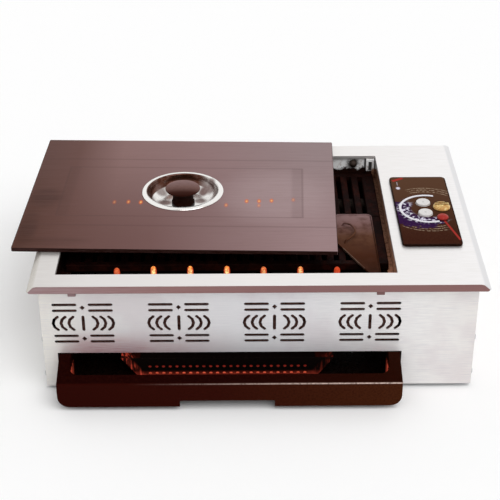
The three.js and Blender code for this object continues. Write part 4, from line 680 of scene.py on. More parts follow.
@dataclass(frozen=True)
class LidPrint(Finish):
    """Satin mauve lid: painted shade and reflection darken it to the left front, a painted highlight
    lightens its right; it is streaked along its width, with two frames round the cup and painted glints.

    The inner frame is an outline with a bar inside each end, the outer one a stripe in front and behind.
    Their places and the lid's half size are in millimetres from the lid's middle. Patches of painted shade
    give a place, a half width, a half depth and a share, painted glints a place and a share.
    """

    tone_share: float = 0.25
    centre: Point = (0.0, 0.0)
    turn: float = 0.0
    half: Point = (198.0, 149.5)
    outline: Point = (156.0, 67.0)
    outline_share: float = 0.26
    bar: float = 149.0
    bar_share: float = 0.16
    stripe: float = 91.0
    stripe_share: float = 0.24
    # Where the painted highlight lies, how far it reaches and how strongly it shows.
    highlight_middle: Point = (120.0, -10.0)
    highlight_reach: float = 95.0
    highlight_share: float = 0.34
    # Painted shade and reflection: the lid's colours along its width, in front and behind.
    front_stops: Stops = ((-0.19, "#4c2c20"), (-0.14, "#604039"), (-0.03, "#70514e"), (0.17, "#9b8182"))
    rear_stops: Stops = (
        (-0.19, "#5c403a"),
        (-0.15, "#644640"),
        (-0.09, "#896b68"),
        (0.02, "#8f7373"),
        (0.17, "#948182"),
    )
    # The colour of the painted highlight.
    bloom: str = "#b7a2a3"
    line: str = "#4c3532"
    # The dark cut edge, and the colour of the patches of painted shade.
    rim: str = "#24100c"
    # Colours of the painted glints: orange, with a pale core.
    glint: str = "#e2672c"
    glint_core: str = "#f2c078"
    # Patches of painted shade at the left front.
    shade_patches: Sequence[tuple[float, float, float, float, float]] = (
        (-176.0, -20.0, 30.0, 34.0, 0.4),
        (-186.0, -100.0, 16.0, 60.0, 0.35),
        (-150.0, -132.0, 60.0, 14.0, 0.28),
    )
    # Painted glints: small orange reflections on the lid.
    glints: Sequence[tuple[float, float, float]] = ()

    def local(self, at: Place) -> Place:
        """The place as the lid has it: across and deep along its own sides, from its middle.

        Args:
            at: The place being shaded.

        Returns:
            The place with the lid's own coordinates.
        """
        turn = (0.0, 0.0, self.turn)
        settings = {"vector_type": "TEXTURE", "Location": (*self.centre, 0.0), "Rotation": turn}
        placed = add_node(at.tree, "ShaderNodeMapping", settings, {"Vector": at.where}).outputs[0]
        return Place(at.tree, placed)

    def ground(self, at: Place) -> Socket:
        """The satin colours with painted shade and highlight, the frames, the painted glints and the dark
        rim.

        Args:
            at: The place being shaded.

        Returns:
            The colour's socket.
        """
        across, deep, _ = self.local(at).coordinates
        drift = at.add(Work.FADE, deep, -150 * MM, 150 * MM, 0.0, 1.0)
        # Painted shade and reflection: darker to the left front, lighter to the right.
        front, rear = (at.graded(across, stops) for stops in (self.front_stops, self.rear_stops))
        satin = at.add(Work.BLEND, drift, front, rear)
        # Painted highlight: a pale spot on the right.
        x, y = self.highlight_middle
        spot = at.on_spot((across, deep), (x * MM, y * MM), (self.highlight_reach, self.highlight_reach))
        lit = at.add(Work.PRODUCT, spot, self.highlight_share)
        satin = at.add(Work.BLEND, lit, satin, self.bloom)
        bands = at.add(Work.FADE, at.speckle(4.0, Lay.ALONG_X), 0.4, 0.7, 0.0, 0.08)
        satin = at.add(Work.BLEND, bands, satin, self.tone)
        # Painted shade: dark patches at the left front.
        for x, y, wide, long, share in self.shade_patches:
            spot = at.on_spot((across, deep), (x * MM, y * MM), (wide, long))
            ragged = at.add(Work.FADE, at.speckle(9.0, Lay.ALONG_X), 0.35, 0.6, 0.3, 1.0)
            satin = at.add(Work.BLEND, at.row(Work.PRODUCT, spot, share, ragged), satin, self.rim)
        satin = at.add(Work.BLEND, self.frames(at, across, deep), satin, self.line)
        # Painted reflections: small orange glints.
        for x, y, share in self.glints:
            for ink, radii in ((self.glint, (3.4, 7.4)), (self.glint_core, (1.7, 3.4))):
                spot = at.on_spot((across, deep), (x * MM, y * MM), radii)
                satin = at.add(Work.BLEND, at.add(Work.PRODUCT, spot, share), satin, ink)
        return at.add(Work.BLEND, self.border(at, across, deep), satin, self.rim)

    def border(self, at: Place, across: Socket, deep: Socket) -> Socket:
        """How strongly the lid's cut edge darkens a place.

        Args:
            at: The place being shaded.
            across: The place along the lid's width, in metres.
            deep: The place along its depth, in metres.

        Returns:
            The share's socket.
        """
        sides = []
        for value, half in zip((across, deep), self.half):
            off = at.add(Work.ABSOLUTE, value)
            sides.append(at.add(Work.FADE, off, (half - 0.7) * MM, (half - 0.3) * MM, 0.0, 1.0))
        return at.row(Work.LARGER, *sides)

    def frames(self, at: Place, across: Socket, deep: Socket) -> Socket:
        """How strongly the printed frames darken a place.

        Args:
            at: The place being shaded.
            across: The place along the lid's width, in metres.
            deep: The place along its depth, in metres.

        Returns:
            The share's socket.
        """
        side = at.add(Work.ABSOLUTE, across)
        front = at.add(Work.ABSOLUTE, deep)
        past_side = at.add(Work.DIFFERENCE, side, self.outline[0] * MM)
        past_front = at.add(Work.DIFFERENCE, front, self.outline[1] * MM)
        edge = at.add(Work.LARGER, past_side, past_front)
        within = at.add(Work.FADE, edge, 0.0, 1.0 * MM, 1.0, 0.0)
        outline = at.near(edge, 0.0, 0.3, 2.0)
        bar = at.add(Work.PRODUCT, at.near(side, self.bar * MM, 4.0, 6.0), within)
        stripe = at.near(front, self.stripe * MM, 0.4, 2.6)
        lines = ((outline, self.outline_share), (bar, self.bar_share), (stripe, self.stripe_share))
        return at.row(Work.SUM, *(at.add(Work.PRODUCT, line, share) for line, share in lines))


@dataclass(frozen=True)
class CupChrome(Finish):
    """Polished chrome, browned by painted reflection and shade in a crescent round the bowl's steep wall
    and in patches of its floor.

    The crescent is deepest at a bearing in degrees, and the wall is given by its inner and outer radius.
    Patches of painted shade give a place from the cup's middle, a half width, a half depth and a share.
    """

    tone_share: float = 0.08
    centre: Point = (0.0, 0.0)
    # The colour of the painted reflection and shade.
    brown: str = "#563022"
    patch: str = "#6b504b"
    wall: Point = (41.5, 46.8)
    deepest: float = 128.0
    # Patches of painted shade on the floor.
    patches: Sequence[tuple[float, float, float, float, float]] = ()

    def ground(self, at: Place) -> Socket:
        """Chrome with the painted crescent and the patches of painted shade over it.

        Args:
            at: The place being shaded.

        Returns:
            The colour's socket.
        """
        right, back, radius, bearing = at.polar(self.centre)
        inner, outer = self.wall
        # Painted reflection and shade: a brown crescent round the steep wall.
        ring = at.near(radius, (inner + outer) / 2 * MM, (outer - inner) / 2, 1.2)
        side = at.add(Work.FADE, at.facing(bearing, self.deepest), -0.1, 0.45, 0.25, 1.0)
        chrome = at.add(Work.BLEND, at.add(Work.PRODUCT, ring, side), self.colour, self.brown)
        # Painted shade: brown patches on the floor.
        for across, deep, wide, long, share in self.patches:
            spot = at.on_spot((right, back), (across * MM, deep * MM), (wide, long))
            chrome = at.add(Work.BLEND, at.add(Work.PRODUCT, spot, share), chrome, self.patch)
        return chrome


@dataclass(frozen=True)
class KnobPhenolic(Drifting):
    """Buffed phenolic: painted shade darkens the cap's front and the neck, painted reflection pales its
    rear.
    """

    tone_share: float = 0.15
    # The neck's near black is painted shade.
    neck: str = "#1a0602"
    cap: Point = (0.1535, 0.1555)

    def ground(self, at: Place) -> Socket:
        """The drifting cap above the neck's painted shade.

        Args:
            at: The place being shaded.

        Returns:
            The colour's socket.
        """
        height = at.coordinates[2]
        above = at.add(Work.FADE, height, *self.cap, 0.0, 1.0)
        return at.add(Work.BLEND, above, self.neck, super().ground(at))


@dataclass(frozen=True)
class DialPrint(Finish):
    """Film printed brown, with a violet fire scale beside the dial, pale arcs, and thin red strokes.

    The film's corners, the dial's middle and the lamp are in metres, the dial's reach in millimetres.
    """

    tone_share: float = 0.3
    low: Point = (0.0, 0.0)
    high: Point = (0.0, 0.0)
    centre: Point = (0.0, 0.0)
    reach: float = 36.5
    lamp: Point = (0.0, 0.0)
    fire_bearing: float = -140.0
    spark_bearing: float = -136.0
    arc_bearing: float = 82.0
    ring_pitch: float = 2.6
    violet: str = "#29093f"
    white: str = "#e4e0f0"
    pale: str = "#a8937c"
    red: str = "#a3302a"
    edge: str = "#0d0504"

    def ground(self, at: Place) -> Socket:
        """Brown film, then the arcs, the violet scale, its sparks, the strokes and the black border.

        Args:
            at: The place being shaded.

        Returns:
            The colour's socket.
        """
        x, y, _ = at.coordinates
        _, _, radius, bearing = at.polar(self.centre)
        rearward = at.add(Work.FADE, y, self.low[1], self.high[1], 0.0, 1.0)
        film = at.add(Work.BLEND, rearward, self.colour, self.tone)
        layers = (
            (self.arcs(at, radius, bearing), self.pale),
            (self.fire(at, radius, bearing), self.violet),
            (self.sparks(at, radius, bearing), self.white),
            (self.pips(at, (x, y)), self.white),
            (self.strokes(at), self.red),
            (self.border(at, (x, y)), self.edge),
        )
        for share, ink in layers:
            film = at.add(Work.BLEND, share, film, ink)
        return film

    def ring(self, at: Place, radius: Socket, inner: Point, outer: Point) -> Socket:
        """How far a radius lies inside a band round the dial.

        Args:
            at: The place being shaded.
            radius: The distance from the dial's middle, in metres.
            inner: Where the band starts and is full, in millimetres from the dial's reach.
            outer: Where it is still full and ends.

        Returns:
            The share's socket.
        """
        inner_ends = [(self.reach + offset) * MM for offset in inner]
        outer_ends = [(self.reach + offset) * MM for offset in outer]
        inside = at.add(Work.FADE, radius, *inner_ends, 0.0, 1.0)
        return at.add(Work.PRODUCT, inside, at.add(Work.FADE, radius, *outer_ends, 1.0, 0.0))

    def fire(self, at: Place, radius: Socket, bearing: Socket) -> Socket:
        """How violet a place is: a ragged crescent on the dial's left and front.

        Args:
            at: The place being shaded.
            radius: The distance from the dial's middle, in metres.
            bearing: The angle round the dial, in radians.

        Returns:
            The share's socket.
        """
        side = at.facing(bearing, self.fire_bearing)
        tongue = at.add(Work.PRODUCT, at.speckle(8.0), 34.0 * MM)
        bulge = at.add(Work.PRODUCT, at.add(Work.FADE, side, 0.2, 1.0, 0.0, 1.0), 14.0 * MM)
        ragged = at.add(Work.DIFFERENCE, at.add(Work.SUM, radius, tongue), bulge)
        past = at.add(Work.FADE, ragged, (self.reach + 18) * MM, (self.reach + 20) * MM, 1.0, 0.0)
        inner = at.add(Work.FADE, radius, (self.reach - 17) * MM, (self.reach - 12) * MM, 0.0, 1.0)
        return at.row(Work.PRODUCT, past, inner, at.add(Work.FADE, side, 0.1, 0.35, 0.0, 0.95))

    def sparks(self, at: Place, radius: Socket, bearing: Socket) -> Socket:
        """How white a place is: ragged sparks just inside the band, on the violet side.

        Args:
            at: The place being shaded.
            radius: The distance from the dial's middle, in metres.
            bearing: The angle round the dial, in radians.

        Returns:
            The share's socket.
        """
        side = at.add(Work.FADE, at.facing(bearing, self.spark_bearing), -0.1, 0.5, 0.0, 1.0)
        grit = at.add(Work.FADE, at.speckle(4.6), 0.5, 0.56, 0.0, 1.0)
        return at.row(Work.PRODUCT, grit, self.ring(at, radius, (-17, -10), (-1, 5)), side)

    def arcs(self, at: Place, radius: Socket, bearing: Socket) -> Socket:
        """How pale a place is: broken fine rings outside the dial, to the rear and to the front.

        Args:
            at: The place being shaded.
            radius: The distance from the dial's middle, in metres.
            bearing: The angle round the dial, in radians.

        Returns:
            The share's socket.
        """
        rings = at.add(Work.TO_AND_FRO, at.add(Work.SUM, radius, 0.7 * MM), self.ring_pitch * MM)
        line = at.add(Work.FADE, rings, 0.7 * MM, 1.3 * MM, 0.85, 0.0)
        broken = at.add(Work.FADE, at.speckle(2.4), 0.44, 0.54, 0.0, 1.0)
        upright = at.add(Work.ABSOLUTE, at.facing(bearing, self.arc_bearing))
        ends = at.add(Work.FADE, upright, 0.82, 0.9, 0.0, 1.0)
        return at.row(Work.PRODUCT, line, broken, self.ring(at, radius, (7, 8), (20, 21)), ends)

    def pips(self, at: Place, place: tuple[Socket, Socket]) -> Socket:
        """How pale a place is: a thin dash and a dot at the rear left.

        Args:
            at: The place being shaded.
            place: The place's two coordinates, in metres.

        Returns:
            The share's socket.
        """
        dash = (self.low[0] + 9 * MM, self.high[1] - 15 * MM)
        dot = (self.low[0] + 9 * MM, self.high[1] - 32 * MM)
        stroke = at.on_stroke(dash, (dash[0], dash[1] - 9 * MM), 1.2)
        thin = at.add(Work.PRODUCT, stroke, 0.4)
        return at.add(Work.LARGER, thin, at.on_spot(place, dot, (3.6, 4.8)))

    def strokes(self, at: Place) -> Socket:
        """How red a place is: a stroke from the lamp to the front corner and a short bar at the rear.

        Args:
            at: The place being shaded.

        Returns:
            The share's socket.
        """
        corner = (self.high[0] - 2.0 * MM, self.low[1] + 11 * MM)
        bar = (self.low[0] + 3.5 * MM, self.high[1] - 12 * MM)
        line = at.on_stroke(self.lamp, corner, 2.8)
        short = at.on_stroke(bar, (bar[0] + 14 * MM, bar[1] + 8.5 * MM), 4.4)
        return at.add(Work.LARGER, line, short)

    def border(self, at: Place, place: tuple[Socket, Socket]) -> Socket:
        """How black a place is: the film's edge, cut square.

        Args:
            at: The place being shaded.
            place: The place's two coordinates, in metres.

        Returns:
            The share's socket.
        """
        sides = []
        for value, low, high in zip(place, self.low, self.high):
            off = at.add(Work.ABSOLUTE, at.add(Work.DIFFERENCE, value, (low + high) / 2))
            half = (high - low) / 2
            sides.append(at.add(Work.FADE, off, half - 2.2 * MM, half - 0.8 * MM, 0.0, 0.9))
        return at.row(Work.LARGER, *sides)


@dataclass(frozen=True)
class MarkedCap(Finish):
    """Moulded plastic with a small round mark in the middle of its top."""

    centre: Point = (0.0, 0.0)
    mark: str = "#9a9896"
    mark_radius: float = 2.2
    mark_share: float = 0.6

    def ground(self, at: Place) -> Socket:
        """The plastic with the mark over it.

        Args:
            at: The place being shaded.

        Returns:
            The colour's socket.
        """
        x, y, _ = at.coordinates
        inked = at.on_spot((x, y), self.centre, (self.mark_radius, self.mark_radius))
        share = at.add(Work.PRODUCT, inked, self.mark_share)
        return at.add(Work.BLEND, share, self.colour, self.mark)


@dataclass(frozen=True)
class Glow(Surface):
    """Something hot that shines in colours along its height, in metres, patchily."""

    stops: Stops
    strength: float
    patch: float = 4.0
    fade: Point = (0.0, 0.0)

    def shade(self, at: Place) -> Socket:
        """The whole surface shader.

        Args:
            at: The place being shaded.

        Returns:
            The shader's socket.
        """
        height = at.coordinates[2]
        colour = self.colours(at, at.graded(height, self.stops))
        scale = {"Scale": 1 / (self.patch * MM)}
        patches = add_node(at.tree, "ShaderNodeTexNoise", scale, {"Vector": at.where})
        glow_strength = at.add(Work.FADE, patches.outputs[0], 0.35, 0.65, self.strength * 0.6, self.strength)
        if self.fade[1]:
            glow_strength = at.add(Work.PRODUCT, glow_strength, at.add(Work.FADE, height, *self.fade, 1.0, 0.0))
        settings = {"Roughness": 0.9, "Specular IOR Level": 0.1}
        links = {"Base Color": colour, "Emission Color": colour, "Emission Strength": glow_strength}
        return add_node(at.tree, "ShaderNodeBsdfPrincipled", settings, links).outputs[0]

    def colours(self, at: Place, along: Socket) -> Socket:
        """The colour of a place, from the colour for its height."""
        return along


@dataclass(frozen=True)
class FlameRow(Glow):
    """Flames in a row along X, redder at their sides than in the middle."""

    first: float = 0.0
    pitch: float = 1.0
    side: str = "#a8381c"
    half_width: float = 3.0
    cores: tuple[float, ...] = (1.0,)

    def colours(self, at: Place, along: Socket) -> Socket:
        """The colour for the height in each flame's core, and red round it.

        Args:
            at: The place being shaded.
            along: The core's colour for the height.

        Returns:
            The colour's socket.
        """
        across = at.coordinates[0]
        off = at.add(Work.TO_AND_FRO, at.add(Work.DIFFERENCE, across, self.first), self.pitch / 2)
        core = at.add(Work.FADE, off, self.half_width * 0.35 * MM, self.half_width * 0.85 * MM, 1.0, 0.0)
        licks = add_node(at.tree, "ShaderNodeTexNoise", {"Scale": 600.0}, {0: at.where}).outputs[0]
        ragged = at.add(Work.FADE, licks, 0.42, 0.56, 0.25, 1.0)
        greys = []
        for index, share in enumerate(self.cores):
            grey = "#" + f"{round(255 * share):02x}" * 3
            greys += [(self.first + (index + step) * self.pitch, grey) for step in (-0.4, 0.4)]
        core = at.row(Work.PRODUCT, core, ragged, at.graded(across, greys))
        return at.add(Work.BLEND, core, self.side, along)


def middle(node: str) -> Vector:
    """The middle of a node's box, in metres."""
    low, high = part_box(node)
    return (low + high) / 2


def base(node: str) -> Vector:
    """The middle of the underside of a node's box, in metres."""
    centre = middle(node)
    return Vector((centre.x, centre.y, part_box(node)[0].z))


def size(node: str) -> Vector:
    """A node's width, depth and height, in millimetres."""
    low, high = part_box(node)
    return (high - low) / MM


def body_of(node: str) -> str:
    """The name of the body that a node belongs to."""
    groups = frame["record"]["behaviour"]["bodies"]
    return next(body for body, nodes in groups.items() if node in nodes)


def round_edges(bm: bmesh.types.BMesh, width: float, segments: int = 2, angle: float = 35.0) -> None:
    """Rounds every edge that is sharper than an angle.

    Args:
        bm: The mesh to change.
        width: How far the rounding reaches from the edge, in millimetres.
        segments: Steps in the rounding.
        angle: The least angle between two faces, in degrees.
    """
    sharp = [e for e in bm.edges if e.is_manifold and e.calc_face_angle(0.0) > math.radians(angle)]
    bmesh.ops.bevel(
        bm,
        geom=sharp,
        offset=width * MM,
        offset_type="OFFSET",
        segments=segments,
        profile=0.5,
        affect="EDGES",
        clamp_overlap=False,
        material=-1,
    )


def publish(
    name: str,
    bm: bmesh.types.BMesh,
    finish: Surface,
    nodes: Sequence[str],
    body: str = "",
) -> None:
    """Turns a finished mesh into a piece of the grill and seats it on its body.

    Args:
        name: The piece's name.
        bm: The mesh, in place and in metres. It is freed here.
        finish: What its surface is.
        nodes: The CAD nodes that it stands for, if any.
        body: The body that it rides on, if it stands for no node.
    """
    for face in bm.faces:
        face.smooth = True
    mesh = bpy.data.meshes.new(name)
    bm.to_mesh(mesh)
    bm.free()
    piece = bpy.data.objects.new(name, mesh)
    bpy.context.scene.collection.objects.link(piece)
    mesh.materials.append(finish.material())
    shading = piece.modifiers.new("even_shading", "WEIGHTED_NORMAL")
    shading.weight = 50
    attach(piece, body or body_of(nodes[0]))
    if nodes:
        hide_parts(*nodes)
    log.info("%s: %d faces", name, len(mesh.polygons))


def eased(node: str, finish: Finish, width: float, segments: int = 2) -> None:
    """Replaces a CAD node by a copy with rounded edges and a finish.

    Args:
        node: The CAD node.
        finish: What its surface is.
        width: How far the rounding reaches, in millimetres.
        segments: Steps in the rounding.
    """
    bm = bmesh.new()
    bm.from_mesh(frame["nodes"][node].data)
    bmesh.ops.remove_doubles(bm, verts=bm.verts, dist=MERGE)
    bmesh.ops.dissolve_limit(bm, angle_limit=FLAT, verts=bm.verts, edges=bm.edges)
    round_edges(bm, width, segments)
    publish(node + "_finished", bm, finish, [node])


def dressed(node: str, finish: Finish) -> None:
    """Gives a finish to a CAD node that keeps its own shape.

    Args:
        node: The CAD node.
        finish: What its surface is.
    """
    for slot in frame["nodes"][node].material_slots:
        slot.material = finish.material()
    log.info("%s: %s", node, finish.name)


def turned(profile: Iterable[Point], centre: Vector, steps: int = 64) -> bmesh.types.BMesh:
    """Spins a profile about an upright axis.

    Args:
        profile: Radius and height of each corner, in millimetres, from axis to axis or closed.
        centre: A point on the axis, in metres; heights count from it.
        steps: Facets round the axis.

    Returns:
        The closed mesh.
    """
    bm = bmesh.new()
    corners = [bm.verts.new((radius * MM, 0.0, height * MM)) for radius, height in profile]
    sides = [bm.edges.new(pair) for pair in zip(corners, corners[1:])]
    bmesh.ops.spin(
        bm,
        geom=corners + sides,
        cent=(0.0, 0.0, 0.0),
        axis=(0.0, 0.0, 1.0),
        angle=math.tau,
        steps=steps,
        use_merge=True,
    )
    bmesh.ops.remove_doubles(bm, verts=bm.verts, dist=0.001 * MM)
    bmesh.ops.recalc_face_normals(bm, faces=bm.faces)
    bmesh.ops.translate(bm, verts=bm.verts, vec=centre)
    return bm


def lay_down(bm: bmesh.types.BMesh, angle: float, axis: str, seat: Vector) -> None:
    """Turns an upright mesh about the origin and seats it.

    Args:
        bm: The mesh to move.
        angle: How far it turns, in degrees.
        axis: The axis that it turns about, X or Y.
        seat: Where the origin goes, in metres.
    """
    turn = Matrix.Rotation(math.radians(angle), 4, axis)
    bmesh.ops.transform(bm, matrix=Matrix.Translation(seat) @ turn, verts=bm.verts)


def dome(radius: float, low: float, high: float, steps: int = 8) -> list[Point]:
    """The profile of a dome that starts upright at its rim and ends on the axis.

    Args:
        radius: The rim's radius, in millimetres.
        low: The rim's height, in millimetres.
        high: The crown's height, in millimetres.
        steps: Points after the rim.

    Returns:
        Radius and height of each point.
    """
    angles = [step / steps * math.pi / 2 for step in range(1, steps)]
    arc = [(radius * math.cos(angle), low + (high - low) * math.sin(angle)) for angle in angles]
    return [(radius, low), *arc, (0.0, high)]


# Stainless steel sheet, belt brushed: near white, with long faint streaks. Painted shade greys it
# to the left and on its side bevels, the left bevel most.
FLANGE = Drifting(
    "brushed_stainless_flange", "#ecebe9", "#e5e2df",
    roughness=0.36, metallic=0.7, grain=0.5, lay=Lay.ALONG_X, relief=0.0015, gloss_drift=0.03,
    stops=(
        (-0.27, "#b9b4ac"),
        (-0.2632, "#c4bfb8"),
        (-0.2622, "#d2cecb"),
        (-0.2, "#dedad8"),
        (0.0, "#eeeae8"),
        (0.1, "#efecea"),
        (0.2622, "#f7f5f5"),
        (0.2632, "#e3e3e5"),
        (0.27, "#dddde0"),
    ),
)
# The same sheet in a duller satin, cool in the middle and warmer to the right, with a painted
# reflection of the drawer in mauve above the drawer.
PANEL = PaintedReflectionPanel(
    "satin_stainless_panel", "#d6d6da", "#d2d1d5",
    roughness=0.48, metallic=0.5, grain=0.5, lay=Lay.ALONG_X, relief=0.0015, gloss_drift=0.04,
    stain="#c8bac0", stain_size=90.0, stain_share=0.3,
    stops=(
        (-0.258, "#e4e1da"),
        (-0.2, "#dcd9d7"),
        (0.0, "#e0dfe2"),
        (0.19, "#f0eeec"),
        (0.258, "#ece8e4"),
    ),
)
# Steel edge strip, satin, drawn along its length: its mauve, darker from the middle on, is a painted
# reflection and painted shade.
TRIM = Drifting(
    "mauve_trim_painted_reflection", "#8a6866", "#7f5d5c",
    roughness=0.42, metallic=0.3, grain=0.5, lay=Lay.ALONG_X, relief=0.003, specular=0.2,
    stops=((-0.27, "#988183"), (-0.1, "#8e6b69"), (0.02, "#846160"), (0.27, "#85625f")),
)
# Hot-dip galvanised steel: blue grey with soft spangle.
ZINC = Finish(
    "galvanised_sheet", "#a7aaad", "#8f9296",
    roughness=0.5, metallic=0.85, grain=7.0, relief=0.01,
)
# Zinc plated steel of small turned parts.
ZINC_FASTENER = Finish(
    "zinc_plated_fastener", "#b9bbbd", "#9c9ea1",
    roughness=0.35, metallic=1.0, grain=1.2, relief=0.004,
)
# Grey iron as cast, seasoned with burnt fat: black, pitted, red brown in patches.
IRON = Finish(
    "seasoned_cast_iron", "#130504", "#1d0a06",
    roughness=0.66, grain=2.2, relief=0.5, gloss_drift=0.15, specular=0.04, stain="#34120b",
    stain_size=14.0, stain_share=0.5,
)
# Mild steel pipe after many heats: grey brown, scaled.
BURNT_STEEL = Finish(
    "heat_scaled_steel", "#3a2d26", "#1f1713",
    roughness=0.55, metallic=0.6, grain=3.0, relief=0.06,
)
# Machined brass.
BRASS = Finish(
    "machined_brass", "#b8924c", "#a27e3d",
    roughness=0.3, metallic=1.0, grain=0.5, lay=Lay.ALONG_Z, relief=0.004,
)
# Glazed porcelain.
CERAMIC = Finish("glazed_ceramic", "#ece7dc", "#ded7c9", roughness=0.2, grain=2.0, relief=0.01)
# Moulded nitrile rubber, dull with a fine grain.
RUBBER = Finish(
    "moulded_rubber", "#1d1c1b", "#282624",
    roughness=0.8, grain=0.7, relief=0.06, specular=0.3,
)
# Glass fibre laminate with green solder mask.
LAMINATE = Finish("solder_masked_laminate", "#28583a", "#1e482e", roughness=0.35, grain=1.4)
# ABS with a spark-eroded texture.
ABS_CASE = Finish("textured_black_abs", "#1f1e1e", "#2b2a29", roughness=0.6, grain=0.5, relief=0.03)
# Polished white ABS.
WHITE_ABS = Finish(
    "polished_white_abs", "#e6e4ea", "#d5d2dc",
    roughness=0.3, grain=1.6, relief=0.004, specular=0.3,
)
# Heavy amber polycarbonate, clouded where it was moulded thick.
AMBER = Finish(
    "amber_polycarbonate", "#c08c4c", "#f0d494",
    roughness=0.35, grain=2.2, gloss_drift=0.05, specular=0.15, stain="#f3dc9c", stain_size=5.0,
    stain_share=0.9,
)
# Red acrylic lens.
RED_LENS = Finish(
    "red_acrylic_lens", "#a32f28", "#8f2620",
    roughness=0.3, grain=3.0, relief=0.004, gloss_drift=0.04, specular=0.15,
)


@dataclass
class Housing:
    """The outer case, its trim, feet and screws. Sizes are in millimetres."""

    edge: float = 0.35
    panel_edge: float = 0.25
    clip_edge: float = 0.8
    foot_edge: float = 0.8
    foot_chamfer: float = 1.2
    foot_stud: Point = (2.5, 1.5)
    screw_shank: float = 1.9
    screw_head: float = 2.0
    screw_edge: float = 0.15
    recess_depth: float = 0.9
    recess_reach: float = 0.7
    recess_angle: float = 16.0

    def build(self) -> None:
        """Makes every piece of the case."""
        eased("top_plate", FLANGE, self.edge)
        eased("front_edge_trim", TRIM, self.edge)
        dressed("front_panel", PANEL)
        for node in ("rear_panel", "left_panel", "right_panel"):
            eased(node, PANEL, self.panel_edge)
        eased("base_plate", ZINC, self.panel_edge)
        for node in ("front_clip_left", "front_clip_right"):
            eased(node, TRIM, self.clip_edge)
        self.feet()
        self.screws()

    def feet(self) -> None:
        """Turns the four rubber feet, each a pad with a chamfered rim below its stud."""
        stud, stud_height = self.foot_stud
        for node in sorted(n for n in frame["nodes"] if n.startswith("foot_")):
            width, _, rise = size(node)
            radius = width / 2
            pad = rise - stud_height
            profile = [(0, 0), (radius - self.foot_chamfer, 0), (radius, pad), (stud, pad)]
            profile += [(stud, rise), (0, rise)]
            bm = turned(profile, base(node), 48)
            round_edges(bm, self.foot_edge, 3)
            publish("rubber_" + node, bm, RUBBER, [node])

    def screws(self) -> None:
        """Turns the pan-head screws, with a cross recess in each head."""
        shank = self.screw_shank
        for node in sorted(n for n in frame["nodes"] if n.startswith("screw_")):
            low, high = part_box(node)
            length, _, width = size(node)
            radius = width / 2
            shoulder = length - self.screw_head
            profile = [(0, 0), (shank, 0), (shank, shoulder), (radius, shoulder), (radius, length - 1)]
            profile += [(radius * 0.72, length - 0.2), (radius * 0.2, length), (0, length)]
            bm = turned(profile, Vector(), 24)
            self.cross(bm, radius, length)
            round_edges(bm, self.screw_edge)
            at = middle(node)
            side = 1 if at.x > 0 else -1
            lay_down(bm, 90 * side, "Y", Vector((low.x if side > 0 else high.x, at.y, at.z)))
            publish("turned_" + node, bm, ZINC_FASTENER, [node])

    def cross(self, bm: bmesh.types.BMesh, radius: float, length: float) -> None:
        """Sinks a cross into a screw's head, which points up at the origin.

        Args:
            bm: The screw's mesh.
            radius: The head's radius, in millimetres.
            length: The screw's length, in millimetres.
        """
        crown = (length - self.recess_depth) * MM
        arms = []
        for face in bm.faces:
            at = face.calc_center_median()
            away = Vector((at.x, at.y)).length / MM
            bearing = math.degrees(math.atan2(at.y, at.x)) % 90
            off_arm = min(bearing, 90 - bearing)
            if at.z > crown and away < radius * self.recess_reach and off_arm < self.recess_angle:
                arms.append(face)
        sunk = bmesh.ops.extrude_face_region(bm, geom=arms)
        corners = [g for g in sunk["geom"] if isinstance(g, bmesh.types.BMVert)]
        bmesh.ops.delete(bm, geom=arms, context="FACES_KEEP_BOUNDARY")
        bmesh.ops.translate(bm, verts=corners, vec=(0.0, 0.0, -self.recess_depth * MM))


